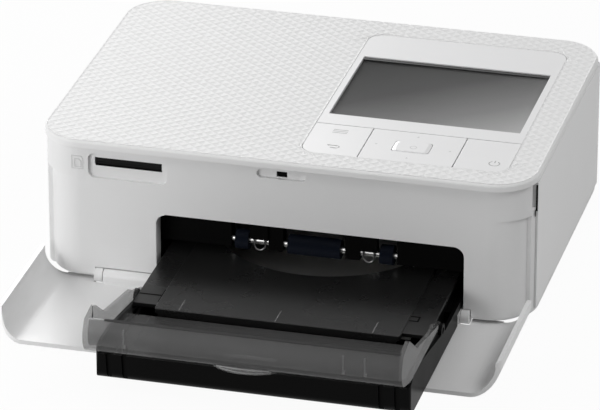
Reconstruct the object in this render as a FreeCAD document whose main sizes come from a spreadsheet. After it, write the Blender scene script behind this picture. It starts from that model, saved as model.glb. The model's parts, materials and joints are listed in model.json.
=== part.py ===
import FreeCAD, Part
import math
import os
import Sketcher

# Lengths in millimetres. X runs to the viewer's right, the printer's front faces -Y, and Z is up.
# Places along Y count from the middle of the printer's body.
lengths = {
    # casing
    "side_bay": 24.1,
    "body_depth": 133.0,
    "body_height": 57.6,
    "lid_thickness": 2.9,
    "lid_lip": 2.0,
    "lid_round": 1.2,
    "corner_radius": 16.0,
    "front_corner_radius": 13.5,
    "case_wall": 2.2,
    "floor_thickness": 2.0,
    "floor_round": 1.6,
    "foot_height": 3.0,
    "foot_radius": 5.0,
    "foot_inset": 17.0,
    "tray_overhang": 90.5,
    # inset corners of the front, where the open door's ends would fold round
    "corner_inset": 2.5,
    "corner_inset_depth": 8.7,
    "corner_inset_height": 42.4,
    "shelf_thickness": 1.5,
    # pieces that are fixed to each other, that turn in each other, and that only pass
    "press_gap": 0.02,
    "running_gap": 0.05,
    "free_gap": 0.3,
    "overrun": 3.0,
    # paper opening and the openings of the front
    "paper_centre": 10.1,
    "opening_half_width": 56.9,
    "opening_top": 31.0,
    "opening_radius": 4.0,
    "card_inset": 34.1,
    "card_width": 25.0,
    "card_slot_height": 2.7,
    "card_slot_middle": 48.9,
    "recess_width": 29.5,
    "recess_bottom": 42.6,
    "recess_top": 52.3,
    "recess_depth": 1.4,
    "recess_radius": 2.6,
    "recess_back": 1.2,
    "latch_width": 18.1,
    "latch_height": 3.1,
    "latch_middle": 51.55,
    "latch_depth": 1.2,
    "latch_hole_width": 3.9,
    "latch_hole_height": 2.3,
    "finger_gap_width": 2.0,
    "finger_gap_bottom": 45.0,
    # door and its hinge
    "hinge_height": 4.2,
    "door_barrel_radius": 2.6,
    "door_barrel_inset": 24.9,
    "door_lug_width": 3.0,
    "door_reach": 53.5,
    "door_thickness": 1.6,
    "door_end_radius": 10.0,
    "door_floor_gap": 0.4,
    "door_lip_height": 12.0,
    "door_hinge_pin_radius": 0.8,
    "door_hinge_pin_length": 7.0,
    "door_step": 2.0,
    "door_tail": 3.8,
    "door_end_tail": 3.0,
    # control panel
    "panel_width": 75.6,
    "panel_side_margin": 11.4,
    "panel_front_margin": 11.2,
    "panel_rear_margin": 12.5,
    "panel_radius": 6.0,
    "panel_thickness": 2.2,
    "panel_ledge": 1.5,
    "panel_gap": 0.15,
    "window_side_margin": 2.3,
    "window_width": 70.8,
    "window_depth": 53.7,
    "window_rear_margin": 21.0,
    "window_recess": 0.4,
    "window_glass": 0.6,
    "display_thickness": 4.5,
    "board_thickness": 1.6,
    "post_radius": 2.2,
    # keys
    "key_row_depth": 25.8,
    "left_key_width": 21.3,
    "right_key_width": 19.7,
    "key_gap": 0.2,
    "key_thickness": 1.2,
    "key_travel": 0.8,
    "key_stem_radius": 1.5,
    "key_dome_height": 0.9,
    "ok_width": 13.4,
    "ok_depth": 8.4,
    "ok_side_offset": 17.1,
    "ok_front_offset": 13.1,
    "ok_proud": 0.3,
    "ok_radius": 1.0,
    "pivot_frame_band": 2.0,
    "pivot_frame_thickness": 0.5,
    # inner frame
    "liner_wall": 1.6,
    "liner_front_gap": 0.2,
    "liner_depth": 42.5,
    "liner_roof": 1.8,
    "chassis_gap": 0.4,
    "chassis_thickness": 1.5,
    "chassis_front_inset": 6.5,
    "chassis_rear_inset": 5.5,
    "chassis_top": 45.7,
    "stay_width": 6.0,
    "stay_thickness": 2.0,
    "front_stay_middle": -43.0,
    "front_stay_height": 38.0,
    "rear_stay_middle": 44.0,
    "rear_stay_height": 8.0,
    # paper feed
    "pickup_inset": 12.2,
    "pickup_z": 20.1,
    "pickup_shaft_radius": 1.5,
    "pickup_roller_radius": 3.6,
    "pickup_roller_half_width": 9.7,
    "side_roller_inner": 24.3,
    "side_roller_outer": 29.2,
    "shaft_overhang": 6.6,
    "bearing_offset": 11.5,
    "bearing_end": 16.9,
    "bearing_margin": 0.9,
    "loop_offset": 20.2,
    "loop_radius": 2.0,
    "loop_wire_radius": 0.35,
    "loop_drop": 0.8,
    "loop_holder_overlap": 1.5,
    "capstan_radius": 2.5,
    "capstan_shaft_radius": 2.0,
    "roller_inset": 4.9,
    "pinch_radius": 3.0,
    "pinch_shaft_radius": 1.2,
    "paper_thickness": 0.3,
    "platen_radius": 5.0,
    "platen_reach": 36.5,
    # gears
    "gear_module": 0.8,
    "gear_width": 4.0,
    "gear_face_gap": 1.7,
    "stud_radius": 1.5,
    # motor
    "motor_radius": 10.0,
    "motor_length": 25.0,
    "motor_shaft_radius": 1.0,
    "motor_bracket_thickness": 1.2,
    "motor_bracket_gap": 1.2,
    "motor_bracket_margin": 3.0,
    # ribbon cassette
    "spool_spacing": 42.0,
    "ribbon_tube_radius": 8.6,
    "ribbon_tube_wall": 1.0,
    "spool_core_radius": 3.0,
    "spool_end": 2.6,
    "supply_roll_radius": 6.3,
    "takeup_roll_radius": 4.3,
    "film_inset": 3.9,
    "film_thickness": 0.2,
    "film_lift": 0.5,
    "ribbon_grip_length": 7.0,
    "ribbon_grip_height": 9.0,
    "ribbon_grip_width": 30.0,
    # print head
    "head_inset": 5.9,
    "head_width": 9.5,
    "head_strip_width": 5.0,
    "head_strip_thickness": 1.0,
    "head_lift": 5.3,
    "head_plate_thickness": 1.2,
    "head_plate_bottom": 45.8,
    "head_fin_gap": 1.4,
    "head_fin_depth": 6.0,
    "head_reach": 36.0,
    "head_pivot_z": 42.6,
    "head_pivot_radius": 2.0,
    "head_ear_thickness": 1.5,
    "head_ear_radius": 3.4,
    # ribbon cover on the right side
    "cover_rear_inset": 10.5,
    "cover_gap": 0.3,
    "cover_pin_radius": 0.55,
    "cover_pin_length": 4.0,
    # ribbon eject lever
    "lever_inset": 12.1,
    "lever_y": -12.0,
    "lever_z": 33.0,
    "lever_length": 22.0,
    "lever_width": 4.0,
    "lever_thickness": 2.0,
    "lever_post_radius": 2.0,
    # paper cassette
    "cassette_side_gap": 0.7,
    "cassette_rail": 1.2,
    "cassette_rear": 14.0,
    "cassette_inner_bottom": 7.4,
    "cassette_outer_bottom": 3.0,
    "cassette_floor": 1.6,
    "cassette_step": -70.5,
    "cassette_front": -143.6,
    "cassette_front_height": 14.0,
    "cassette_groove_depth": 0.9,
    "cassette_corner_radius": 2.2,
    "cassette_rail_height": 16.8,
    "cassette_lid_inset": 2.8,
    "cassette_lid_front": -106.0,
    "cassette_lid_rear": 6.0,
    "cassette_lid_top": 16.0,
    "cassette_lid_thickness": 1.4,
    "lid_panel_inset": 9.0,
    "lid_panel_front": -110.0,
    "lid_panel_rise": 0.6,
    "lid_panel_band": 3.0,
    "roller_window_radius": 41.5,
    "roller_window_middle": -29.5,
    "roller_window_side": -0.6,
    "lift_plate_front": -100.0,
    "lift_plate_rear": -24.0,
    "lift_plate_inset": 4.6,
    "lift_plate_thickness": 1.0,
    "lift_pin_radius": 1.2,
    "lift_spring_radius": 3.0,
    "lift_spring_wire": 0.4,
    "guide_rib_inset": 5.6,
    "guide_rib_width": 1.0,
    "guide_rib_height": 4.0,
    # output tray
    "tray_side_reach": 0.2,
    "tray_wall": 1.5,
    "tray_pivot_y": -93.5,
    "tray_pivot_z": 12.4,
    "tray_pin_radius": 1.2,
    "tray_boss_radius": 2.6,
    "tray_arm_inset": 1.5,
    "tray_arm_thickness": 1.0,
    "tray_rear": -112.5,
    "tray_floor_rear_height": 13.2,
    "tray_knee": -143.6,
    "tray_knee_height": 17.2,
    "tray_foot_height": 20.8,
    "tray_chin_radius": 6.5,
    "tray_belly_height": 28.0,
    "tray_rim": -154.4,
    "tray_rim_height": 32.4,
    "tray_belly_radius": 8.5,
    "tray_cheek_radius": 5.0,
    "tray_peak": -145.8,
    "tray_peak_height": 33.8,
    "tray_peak_radius": 2.2,
    "tray_valley": -133.9,
    "tray_valley_height": 25.3,
    "thumb_tab_radius": 18.5,
    "thumb_tab_inset": 1.5,
    "thumb_tab_drop": 0.8,
    "thumb_tab_depth": 4.0,
    "thumb_tab_thickness": 1.4,
    # fan
    "fan_size": 30.0,
    "fan_depth": 8.0,
    "fan_middle_y": 34.0,
    "fan_middle_z": 27.0,
    "fan_bore_gap": 1.2,
    "fan_hub_radius": 6.0,
    "fan_strut": 2.0,
    "fan_blade_thickness": 1.0,
    "vent_slot": 1.6,
    "vent_pitch": 4.0,
    # boards, sockets and screws
    "main_board_inset": 6.6,
    "main_board_width": 46.5,
    "main_board_front": -58.0,
    "main_board_rear": 8.0,
    "chip_height": 1.4,
    "card_socket_depth": 25.0,
    "card_socket_wall": 0.8,
    "port_board_inset": 12.6,
    "port_board_width": 27.0,
    "port_board_front_inset": 20.5,
    "port_board_height": 7.5,
    "jack_width": 9.8,
    "jack_height": 10.8,
    "jack_bore_radius": 3.0,
    "jack_pin_radius": 0.8,
    "jack_depth": 13.0,
    "usb_wide_width": 13.2,
    "usb_wide_height": 5.9,
    "usb_wide_depth": 13.5,
    "usb_small_width": 8.9,
    "usb_small_height": 3.3,
    "usb_small_depth": 7.4,
    "usb_shell": 0.35,
    "usb_small_y": -14.0,
    "rear_slot_inset": 2.7,
    "rear_slot_height": 5.0,
    "pillar_radius": 3.2,
    "pillar_inset_side": 8.0,
    "pillar_inset_rear": 10.0,
    "pillar_inset_front": 14.0,
    "screw_radius": 1.3,
    "screw_head_radius": 2.6,
    "screw_head_height": 1.4,
    "screw_length": 10.0,
}

# Counts, angles in degrees and shares of other sizes
capstan_teeth = 36
idler_teeth = 24
pickup_teeth = 16
takeup_teeth = 15
motor_teeth = 12
idler_direction_shares = (0.98671, 0.1625)
takeup_direction_shares = (0.8, 0.6)
motor_direction_shares = (0.96, -0.28)
gear_tip_share = 0.9
gear_root_share = 1.25
tooth_root_share = 0.27
tooth_tip_share = 0.13
fan_blades = 7
fan_struts = 3
vent_slots = 6
head_fins = 9
lift_coils = 5
# each chip's place across and along the main board, and its side over the board's width
chip_shares = ((0.55, 0.36, 0.3), (0.8, 0.1, 0.16), (0.3, 0.12, 0.2))
close_enough = 1e-4
half_turn = 180.0
full_turn = 360.0

doc = FreeCAD.newDocument("PhotoPrinter")
sheet = doc.addObject("Spreadsheet::Sheet", "Sizes")
parts = []


class Size:
    """A length that is both a cell expression and its present value."""

    def __init__(self, text, value):
        self.text = text
        self.value = value

    def __add__(self, other):
        return combine(self, other, "+", lambda a, b: a + b)

    def __radd__(self, other):
        return combine(other, self, "+", lambda a, b: a + b)

    def __sub__(self, other):
        return combine(self, other, "-", lambda a, b: a - b)

    def __rsub__(self, other):
        return combine(other, self, "-", lambda a, b: a - b)

    def __mul__(self, other):
        return combine(self, other, "*", lambda a, b: a * b)

    def __rmul__(self, other):
        return combine(other, self, "*", lambda a, b: a * b)

    def __truediv__(self, other):
        return combine(self, other, "/", lambda a, b: a / b)

    def __neg__(self):
        return combine(0, self, "-", lambda a, b: a - b)


def sized(term):
    if isinstance(term, Size):
        return term
    return Size("(%.9f)" % term, float(term))


def combine(first, second, sign, rule):
    first = sized(first)
    second = sized(second)
    return Size("(%s %s %s)" % (first.text, sign, second.text), rule(first.value, second.value))


class Sizes:
    """Every named length, read as an attribute."""


size = Sizes()
for row, (alias, length) in enumerate(lengths.items(), start=1):
    sheet.set("A%d" % row, alias)
    sheet.set("B%d" % row, str(length))
    sheet.setAlias("B%d" % row, alias)
    setattr(size, alias, Size("Sizes." + alias, length))
doc.recompute()

# Places that several pieces share
zero = Size("0", 0.0)
half = size.paper_centre + size.opening_half_width + size.side_bay
front = -size.body_depth / 2
rear = size.body_depth / 2
top = size.body_height
lid_bottom = top - size.lid_thickness
floor_bottom = size.foot_height
floor_top = floor_bottom + size.floor_thickness
front_face = front + size.lid_lip
front_inner = front_face + size.case_wall
rear_inner = rear - size.case_wall
side_inner = half - size.case_wall
step_y = front_face + size.corner_inset_depth
split_y = step_y + size.case_wall
tray_belly = front - size.tray_overhang
shift_y = size.tray_overhang / 2
middle = size.paper_centre
panel_right = half - size.panel_side_margin
panel_left = panel_right - size.panel_width
panel_front = front + size.panel_front_margin
panel_rear = rear - size.panel_rear_margin
window_left = panel_left + size.window_side_margin
window_right = window_left + size.window_width
window_rear = panel_rear - size.window_rear_margin
window_front = window_rear - size.window_depth
key_row_rear = panel_front + size.key_row_depth
key_split_left = panel_left + size.left_key_width
key_split_right = panel_right - size.right_key_width
ok_centre = key_split_left + size.ok_side_offset
ok_middle = panel_front + size.ok_front_offset
card_centre = size.card_inset - half
door_barrel_half_width = half - size.door_barrel_inset
main_board_left = size.main_board_inset - half
main_board_right = main_board_left + size.main_board_width
port_board_left = size.port_board_inset - half
port_board_right = port_board_left + size.port_board_width
port_board_front = rear - size.port_board_front_inset
lever_x = half - size.lever_inset
roller_half_width = size.opening_half_width - size.roller_inset
film_half_width = size.opening_half_width - size.film_inset
head_half_width = size.opening_half_width - size.head_inset
rear_slot_half_width = size.opening_half_width - size.rear_slot_inset
cassette_half_width = size.opening_half_width - size.cassette_side_gap
tray_half_width = cassette_half_width + size.tray_side_reach
tray_arm_half_width = cassette_half_width - size.tray_arm_inset
guide_rib_half_width = cassette_half_width - size.guide_rib_inset
cassette_lid_half_width = cassette_half_width - size.cassette_lid_inset
lid_panel_half_width = cassette_lid_half_width - size.lid_panel_inset
lift_plate_half_width = guide_rib_half_width - size.lift_plate_inset
chassis_front = front + size.chassis_front_inset
chassis_rear = rear - size.chassis_rear_inset
cover_rear = rear - size.cover_rear_inset
liner_rear = front + size.liner_depth
pickup_y = front + size.pickup_inset
chassis_inner = size.opening_half_width + size.liner_wall + size.chassis_gap
chassis_outer = chassis_inner + size.chassis_thickness
gear_right = middle - chassis_outer - size.gear_face_gap
gear_left = gear_right - size.gear_width
idler_reach = size.gear_module * ((pickup_teeth + idler_teeth) / 2)
idler_y = pickup_y + idler_reach * idler_direction_shares[0]
capstan_y = idler_y + size.gear_module * ((idler_teeth + capstan_teeth) / 2)
platen_y = capstan_y + size.platen_reach
head_pivot_y = platen_y + size.head_reach
capstan_z = size.pickup_z + idler_reach * idler_direction_shares[1]
path_z = capstan_z + size.capstan_radius
takeup_reach = size.gear_module * ((capstan_teeth + takeup_teeth) / 2)
takeup_y = capstan_y + takeup_reach * takeup_direction_shares[0]
takeup_z = capstan_z + takeup_reach * takeup_direction_shares[1]
supply_y = takeup_y + size.spool_spacing
motor_reach = size.gear_module * ((capstan_teeth + motor_teeth) / 2)
motor_y = capstan_y + motor_reach * motor_direction_shares[0]
motor_z = capstan_z + motor_reach * motor_direction_shares[1]
platen_z = path_z - size.platen_radius
loop_y = pickup_y - size.pickup_shaft_radius - size.loop_wire_radius - size.free_gap
loop_holder_bottom = size.pickup_z + size.pickup_shaft_radius + size.free_gap
pinch_z = path_z + size.paper_thickness + size.pinch_radius
hinge_y = front_face
panel_bottom = top - size.panel_thickness
glass_top = top - size.window_recess
display_top = glass_top - size.window_glass
key_board_top = display_top - size.display_thickness
main_board_top = size.chassis_top + size.board_thickness
port_board_top = size.port_board_height + size.board_thickness


def ordered(low, high):
    low = sized(low)
    high = sized(high)
    if low.value <= high.value:
        return low, high
    return high, low


def spread(inner, outer, side, centre=None):
    """The stretch from inner to outer on one side of a centre line."""
    centre = middle if centre is None else centre
    return ordered(centre + side * inner, centre + side * outer)


def place(thing, x, y, z):
    thing.setExpression("Placement.Base.x", x.text)
    thing.setExpression("Placement.Base.y", (y + shift_y).text)
    thing.setExpression("Placement.Base.z", z.text)


def box(x, y, z):
    x = ordered(*x)
    y = ordered(*y)
    z = ordered(*z)
    thing = doc.addObject("Part::Box", "Block")
    thing.setExpression("Length", (x[1] - x[0]).text)
    thing.setExpression("Width", (y[1] - y[0]).text)
    thing.setExpression("Height", (z[1] - z[0]).text)
    place(thing, x[0], y[0], z[0])
    return thing


def rod(axis, centre, span, radius):
    """A cylinder along an axis; its centre is given in the other two directions in turn."""
    span = ordered(*span)
    thing = doc.addObject("Part::Cylinder", "Rod")
    thing.setExpression("Radius", radius.text)
    thing.setExpression("Height", (span[1] - span[0]).text)
    if axis == "x":
        thing.Placement.Rotation = FreeCAD.Rotation(FreeCAD.Vector(0, 1, 0), half_turn / 2)
        place(thing, span[0], centre[0], centre[1])
    elif axis == "y":
        thing.Placement.Rotation = FreeCAD.Rotation(FreeCAD.Vector(1, 0, 0), -half_turn / 2)
        place(thing, centre[0], span[0], centre[1])
    else:
        place(thing, centre[0], centre[1], span[0])
    return thing


def tube(axis, centre, span, radius, bore):
    reach = ordered(*span)
    hole = rod(axis, centre, (reach[0] - size.overrun, reach[1] + size.overrun), bore)
    return cut(rod(axis, centre, span, radius), hole)


def cut(base, *tools):
    for tool in tools:
        result = doc.addObject("Part::Cut", "Cut")
        result.Base = base
        result.Tool = tool
        base = result
    return base


def join(*pieces):
    if len(pieces) == 1:
        return pieces[0]
    result = doc.addObject("Part::MultiFuse", "Join")
    result.Shapes = list(pieces)
    result.Refine = True
    return result


def group(*pieces):
    result = doc.addObject("Part::Compound", "Group")
    result.Links = list(pieces)
    return result


def common(first, second):
    result = doc.addObject("Part::Common", "Common")
    result.Base = first
    result.Tool = second
    return result


def name(label, thing):
    thing.Label = label
    parts.append(thing)
    return thing


plane_roles = {"x": "YZ_Plane", "y": "XZ_Plane", "z": "XY_Plane"}


def base_plane(body, axis):
    for feature in body.Origin.OriginFeatures:
        if feature.Role == plane_roles[axis]:
            return feature
    raise ValueError("no plane for " + axis)


def attach(sketch, body, axis, span):
    sketch.AttachmentSupport = [(base_plane(body, axis), "")]
    sketch.MapMode = "FlatFace"
    if axis == "x":
        sketch.setExpression("AttachmentOffset.Base.x", shift_y.text)
        sketch.setExpression("AttachmentOffset.Base.z", span[0].text)
    elif axis == "y":
        sketch.setExpression("AttachmentOffset.Base.z", (-(span[1] + shift_y)).text)
    else:
        sketch.setExpression("AttachmentOffset.Base.y", shift_y.text)
        sketch.setExpression("AttachmentOffset.Base.z", span[0].text)


def draw(sketch, points):
    """A closed outline; each corner is held by its two distances from the sketch's origin."""
    count = len(points)
    for index in range(count):
        start = points[index]
        end = points[(index + 1) % count]
        line = Part.LineSegment(
            FreeCAD.Vector(start[0].value, start[1].value, 0), FreeCAD.Vector(end[0].value, end[1].value, 0)
        )
        sketch.addGeometry(line, False)
    for index in range(count):
        sketch.addConstraint(Sketcher.Constraint("Coincident", index, 2, (index + 1) % count, 1))
    for index, point in enumerate(points):
        for direction, distance in zip(("DistanceX", "DistanceY"), point):
            number = sketch.addConstraint(Sketcher.Constraint(direction, index, 1, distance.value))
            sketch.setExpression("Constraints[%d]" % number, distance.text)


def along(axis, edge, corner):
    """Whether an edge runs along the axis through a corner of the outline."""
    picks = {"x": ("y", "z"), "y": ("x", "z"), "z": ("x", "y")}[axis]
    for vertex in edge.Vertexes:
        for letter, target in zip(picks, corner):
            place_now = getattr(vertex.Point, letter)
            if letter == "y":
                place_now = place_now - shift_y.value
            if abs(place_now - target.value) > close_enough:
                return False
    return True


def prism(axis, points, span, rounds=None, soft_edges=None):
    """An outline pushed along an axis. rounds gives a radius to corners of the outline by their number,
    and soft_edges a radius to the rim at the low or the high end."""
    points = [(sized(first), sized(second)) for first, second in points]
    span = ordered(*span)
    body = doc.addObject("PartDesign::Body", "Body")
    sketch = body.newObject("Sketcher::SketchObject", "Outline")
    attach(sketch, body, axis, span)
    draw(sketch, points)
    pad = body.newObject("PartDesign::Pad", "Pad")
    pad.Profile = sketch
    pad.setExpression("Length", (span[1] - span[0]).text)
    doc.recompute()
    last = pad
    for number, radius in (rounds or {}).items():
        edges = [
            "Edge%d" % (index + 1)
            for index, edge in enumerate(last.Shape.Edges)
            if along(axis, edge, points[number])
        ]
        fillet = body.newObject("PartDesign::Fillet", "Corner")
        fillet.Base = (last, edges)
        fillet.setExpression("Radius", radius.text)
        body.Tip = fillet
        doc.recompute()
        last = fillet
    for end, radius in (soft_edges or {}).items():
        level = span[0].value if end == "low" else span[1].value
        if axis == "y":
            level = level + shift_y.value
        edges = []
        for index, edge in enumerate(last.Shape.Edges):
            if all(abs(getattr(vertex.Point, axis) - level) < close_enough for vertex in edge.Vertexes):
                edges.append("Edge%d" % (index + 1))
        fillet = body.newObject("PartDesign::Fillet", "Rim")
        fillet.Base = (last, edges)
        fillet.setExpression("Radius", radius.text)
        body.Tip = fillet
        doc.recompute()
        last = fillet
    return body


def corners(x, y):
    x = ordered(*x)
    y = ordered(*y)
    return [(x[0], y[0]), (x[1], y[0]), (x[1], y[1]), (x[0], y[1])]


def plate(x, y, z, radius, soft_edges=None):
    """A flat plate with its four upright corners rounded."""
    return prism("z", corners(x, y), z, {0: radius, 1: radius, 2: radius, 3: radius}, soft_edges)


def upright(x, z, y, radius):
    """A block with its four corners rounded as seen from the front."""
    return prism("y", corners(x, z), y, {0: radius, 1: radius, 2: radius, 3: radius})


# Casing

def narrow_outline(inset):
    narrow = half - size.corner_inset - inset
    return corners((-narrow, narrow), (front_face + inset, rear - inset))


def narrow_rounds(inset):
    radius = size.front_corner_radius - inset
    return {0: radius, 1: radius, 2: radius, 3: radius}


def full_outline(inset):
    return corners((-(half - inset), half - inset), (front_face + inset, rear - inset))


def full_rounds(inset):
    radius = size.corner_radius - inset
    return {0: radius, 1: radius, 2: radius, 3: radius}


def case_ring():
    """The walls all round, before they are split into a front and a shell."""
    wall = size.case_wall
    inset_top = size.corner_inset_height
    low_z = (floor_top, inset_top)
    cutter_z = (floor_bottom, inset_top + size.overrun)
    front_wall = cut(
        prism("z", narrow_outline(zero), low_z, narrow_rounds(zero)),
        prism("z", narrow_outline(wall), cutter_z, narrow_rounds(wall)),
    )
    step_wall = cut(
        prism("z", full_outline(zero), low_z, full_rounds(zero)),
        prism("z", narrow_outline(wall), cutter_z, narrow_rounds(wall)),
    )
    lower = cut(
        prism("z", full_outline(zero), low_z, full_rounds(zero)),
        prism("z", full_outline(wall), cutter_z, full_rounds(wall)),
    )
    upper = cut(
        prism("z", full_outline(zero), (inset_top, lid_bottom), full_rounds(zero)),
        prism("z", full_outline(wall), (inset_top - size.overrun, top), full_rounds(wall)),
    )
    shelf = cut(
        prism("z", full_outline(zero), (inset_top, inset_top + size.shelf_thickness), full_rounds(zero)),
        prism("z", narrow_outline(wall), (inset_top - size.overrun, top), narrow_rounds(wall)),
        across((split_y, rear + size.overrun)),
    )
    return join(
        common(front_wall, across((front, step_y))),
        common(step_wall, across((step_y, split_y))),
        common(lower, across((split_y, rear + size.overrun))),
        upper,
        shelf,
    )


def across(y, z=None):
    """A block over the whole width of the case."""
    reach = half + size.overrun
    return box((-reach, reach), y, z or (-size.overrun, top + size.overrun))


def front_panel():
    ring = case_ring()
    recess_low = card_centre - size.recess_width / 2
    recess_high = card_centre + size.recess_width / 2
    boss_margin = size.case_wall
    boss = box(
        (recess_low - boss_margin, recess_high + boss_margin),
        (front_face + size.recess_depth, front_inner + size.recess_back),
        (size.recess_bottom - boss_margin, size.recess_top + boss_margin),
    )
    wall = join(common(ring, across((front, split_y))), boss)
    cutter_y = (front - size.overrun, front_inner + size.recess_back + size.overrun)
    opening = upright(
        (middle - size.opening_half_width, middle + size.opening_half_width),
        (floor_bottom - size.overrun - size.opening_radius, size.opening_top),
        cutter_y,
        size.opening_radius,
    )
    hinge_space = door_barrel_half_width + size.door_lug_width + 2 * size.free_gap
    hinge_cut = box(
        (-hinge_space, hinge_space),
        cutter_y,
        (-size.overrun, size.hinge_height + size.door_barrel_radius + size.free_gap),
    )
    recess = upright(
        (recess_low, recess_high),
        (size.recess_bottom, size.recess_top),
        (front - size.overrun, front_face + size.recess_depth),
        size.recess_radius,
    )
    card_slot = box(
        (card_centre - size.card_width / 2, card_centre + size.card_width / 2),
        cutter_y,
        (
            size.card_slot_middle - size.card_slot_height / 2,
            size.card_slot_middle + size.card_slot_height / 2,
        ),
    )
    latch_recess = upright(
        (-size.latch_width / 2, size.latch_width / 2),
        (size.latch_middle - size.latch_height / 2, size.latch_middle + size.latch_height / 2),
        (front - size.overrun, front_face + size.latch_depth),
        size.latch_height / 2 - size.press_gap,
    )
    latch_hole = box(
        (-size.latch_hole_width / 2, size.latch_hole_width / 2),
        cutter_y,
        (
            size.latch_middle - size.latch_hole_height / 2,
            size.latch_middle + size.latch_hole_height / 2,
        ),
    )
    finger_gap = box(
        (side_inner - size.overrun, half + size.overrun),
        (split_y - size.finger_gap_width, split_y + size.overrun),
        (size.finger_gap_bottom, top),
    )
    cuts = (opening, hinge_cut, recess, card_slot, latch_recess, latch_hole, finger_gap)
    name("front_panel", cut(wall, *cuts))


def body_shell():
    ring = cut(case_ring(), across((front - size.overrun, split_y)))
    side_window = box(
        (half - size.corner_radius, half + size.overrun),
        (split_y - size.overrun, cover_rear + size.case_wall / 2 + size.cover_gap),
        (floor_bottom, top),
    )
    rear_y = (rear_inner - size.overrun, rear + size.overrun)
    paper_slot = box(
        (middle - rear_slot_half_width, middle + rear_slot_half_width),
        rear_y,
        (path_z - size.rear_slot_height / 2, path_z + size.rear_slot_height / 2),
    )
    jack_z = (port_board_top, port_board_top + size.jack_height + size.free_gap)
    jack_hole = box(jack_x(size.free_gap), rear_y, jack_z)
    usb_z = (port_board_top, port_board_top + size.usb_wide_height + size.free_gap)
    usb_hole = box(usb_wide_x(size.free_gap), rear_y, usb_z)
    small_hole = box(
        (-half - size.overrun, -side_inner + size.overrun),
        usb_small_y(size.free_gap),
        (main_board_top, main_board_top + size.usb_small_height + size.free_gap),
    )
    left_vents = [
        box(
            (-half - size.overrun, -side_inner + size.overrun),
            (size.fan_middle_y - size.fan_size / 3, size.fan_middle_y + size.fan_size / 3),
            (vent_z - size.vent_slot / 2, vent_z + size.vent_slot / 2),
        )
        for vent_z in vent_heights(size.fan_middle_z)
    ]
    rear_vent_middle = size.head_plate_bottom - size.vent_pitch * (vent_slots / 4)
    rear_vents = [
        box(
            (middle - size.fan_size / 2, middle + size.fan_size / 2),
            rear_y,
            (vent_z - size.vent_slot / 2, vent_z + size.vent_slot / 2),
        )
        for vent_z in vent_heights(rear_vent_middle)[vent_slots // 2:]
    ]
    holes = (side_window, paper_slot, jack_hole, usb_hole, small_hole)
    name("body_shell", cut(ring, *holes, *left_vents, *rear_vents))


def vent_heights(centre):
    return [centre + size.vent_pitch * (index - (vent_slots - 1) / 2) for index in range(vent_slots)]


def bottom_case():
    floor_z = (floor_bottom, floor_top)
    soft = {"low": size.floor_round}
    narrow = prism("z", narrow_outline(zero), floor_z, narrow_rounds(zero), soft)
    wide = prism("z", full_outline(zero), floor_z, full_rounds(zero), soft)
    floor = join(
        common(narrow, across((front, step_y))),
        common(wide, across((step_y, rear + size.overrun))),
    )
    hinge_space = door_barrel_half_width + size.door_lug_width + 2 * size.free_gap
    barrel_cut = box(
        (-hinge_space, hinge_space),
        (front - size.overrun, hinge_y + size.door_barrel_radius + size.free_gap),
        (-size.overrun, floor_top + size.overrun),
    )
    floor = cut(floor, barrel_cut)
    through = (-size.overrun, floor_top + size.overrun)
    sunk = (-size.overrun, floor_bottom + size.screw_head_height)
    for place_xy in pillar_places():
        floor = cut(
            floor,
            rod("z", place_xy, through, size.screw_radius + size.free_gap),
            rod("z", place_xy, sunk, size.screw_head_radius + size.free_gap),
        )
    lugs = []
    for side in (-1, 1):
        inner = door_barrel_half_width + size.free_gap
        lug = prism(
            "x",
            corners(
                (hinge_y - size.door_barrel_radius, hinge_y + size.door_barrel_radius + size.free_gap),
                (size.hinge_height - size.door_barrel_radius, size.hinge_height + size.door_barrel_radius),
            ),
            spread(inner, inner + size.door_lug_width, side, zero),
            {
                0: size.door_barrel_radius - size.press_gap,
                3: size.door_barrel_radius - size.press_gap,
            },
        )
        pin_hole = rod(
            "x",
            (hinge_y, size.hinge_height),
            spread(inner - size.overrun, inner + size.door_lug_width + size.overrun, side, zero),
            size.door_hinge_pin_radius + size.press_gap,
        )
        lugs.append(cut(lug, pin_hole))
    name("bottom_case", join(floor, *lugs, *pillars(), *port_posts(), lever_post()))


def pillar_places():
    x = half - size.pillar_inset_side
    rear_y = rear - size.pillar_inset_rear
    front_y = front_face + size.pillar_inset_front
    return [(-x, front_y), (x, front_y), (x, rear_y), (-x, rear_y)]


def pillars():
    """Posts from the floor up to the lid that take the case screws."""
    posts = []
    bore_z = (floor_bottom, floor_top + size.screw_length)
    for place_xy in pillar_places():
        post = rod("z", place_xy, (floor_top, lid_bottom), size.pillar_radius)
        posts.append(cut(post, rod("z", place_xy, bore_z, size.screw_radius + size.press_gap)))
    return posts


def case_screws():
    screws = []
    head_z = (floor_bottom, floor_bottom + size.screw_head_height)
    shank_z = (floor_bottom, floor_top + size.screw_length - size.free_gap)
    for place_xy in pillar_places():
        head = rod("z", place_xy, head_z, size.screw_head_radius)
        screws.append(join(head, rod("z", place_xy, shank_z, size.screw_radius)))
    name("case_screws", group(*screws))


def rubber_feet():
    feet = []
    reach = half - size.foot_inset
    for x in (-reach, reach):
        for y in (front_face + size.foot_inset, rear - size.foot_inset):
            feet.append(rod("z", (x, y), (zero, floor_bottom), size.foot_radius))
    name("rubber_feet", group(*feet))


def top_cover():
    soft = {"high": size.lid_round}
    lid = plate((-half, half), (front, rear), (lid_bottom, top), size.corner_radius, soft)
    opening = prism(
        "z",
        corners(
            (panel_left - size.panel_gap, panel_right + size.panel_gap),
            (panel_front - size.panel_gap, panel_rear + size.panel_gap),
        ),
        (panel_bottom, top + size.overrun),
        {index: size.panel_radius for index in range(4)},
    )
    through = box(
        (panel_left + size.panel_ledge, panel_right - size.panel_ledge),
        (panel_front + size.panel_ledge, panel_rear - size.panel_ledge),
        (lid_bottom - size.overrun, top + size.overrun),
    )
    name("top_cover", cut(lid, opening, through))


# Control panel, keys and display

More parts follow.
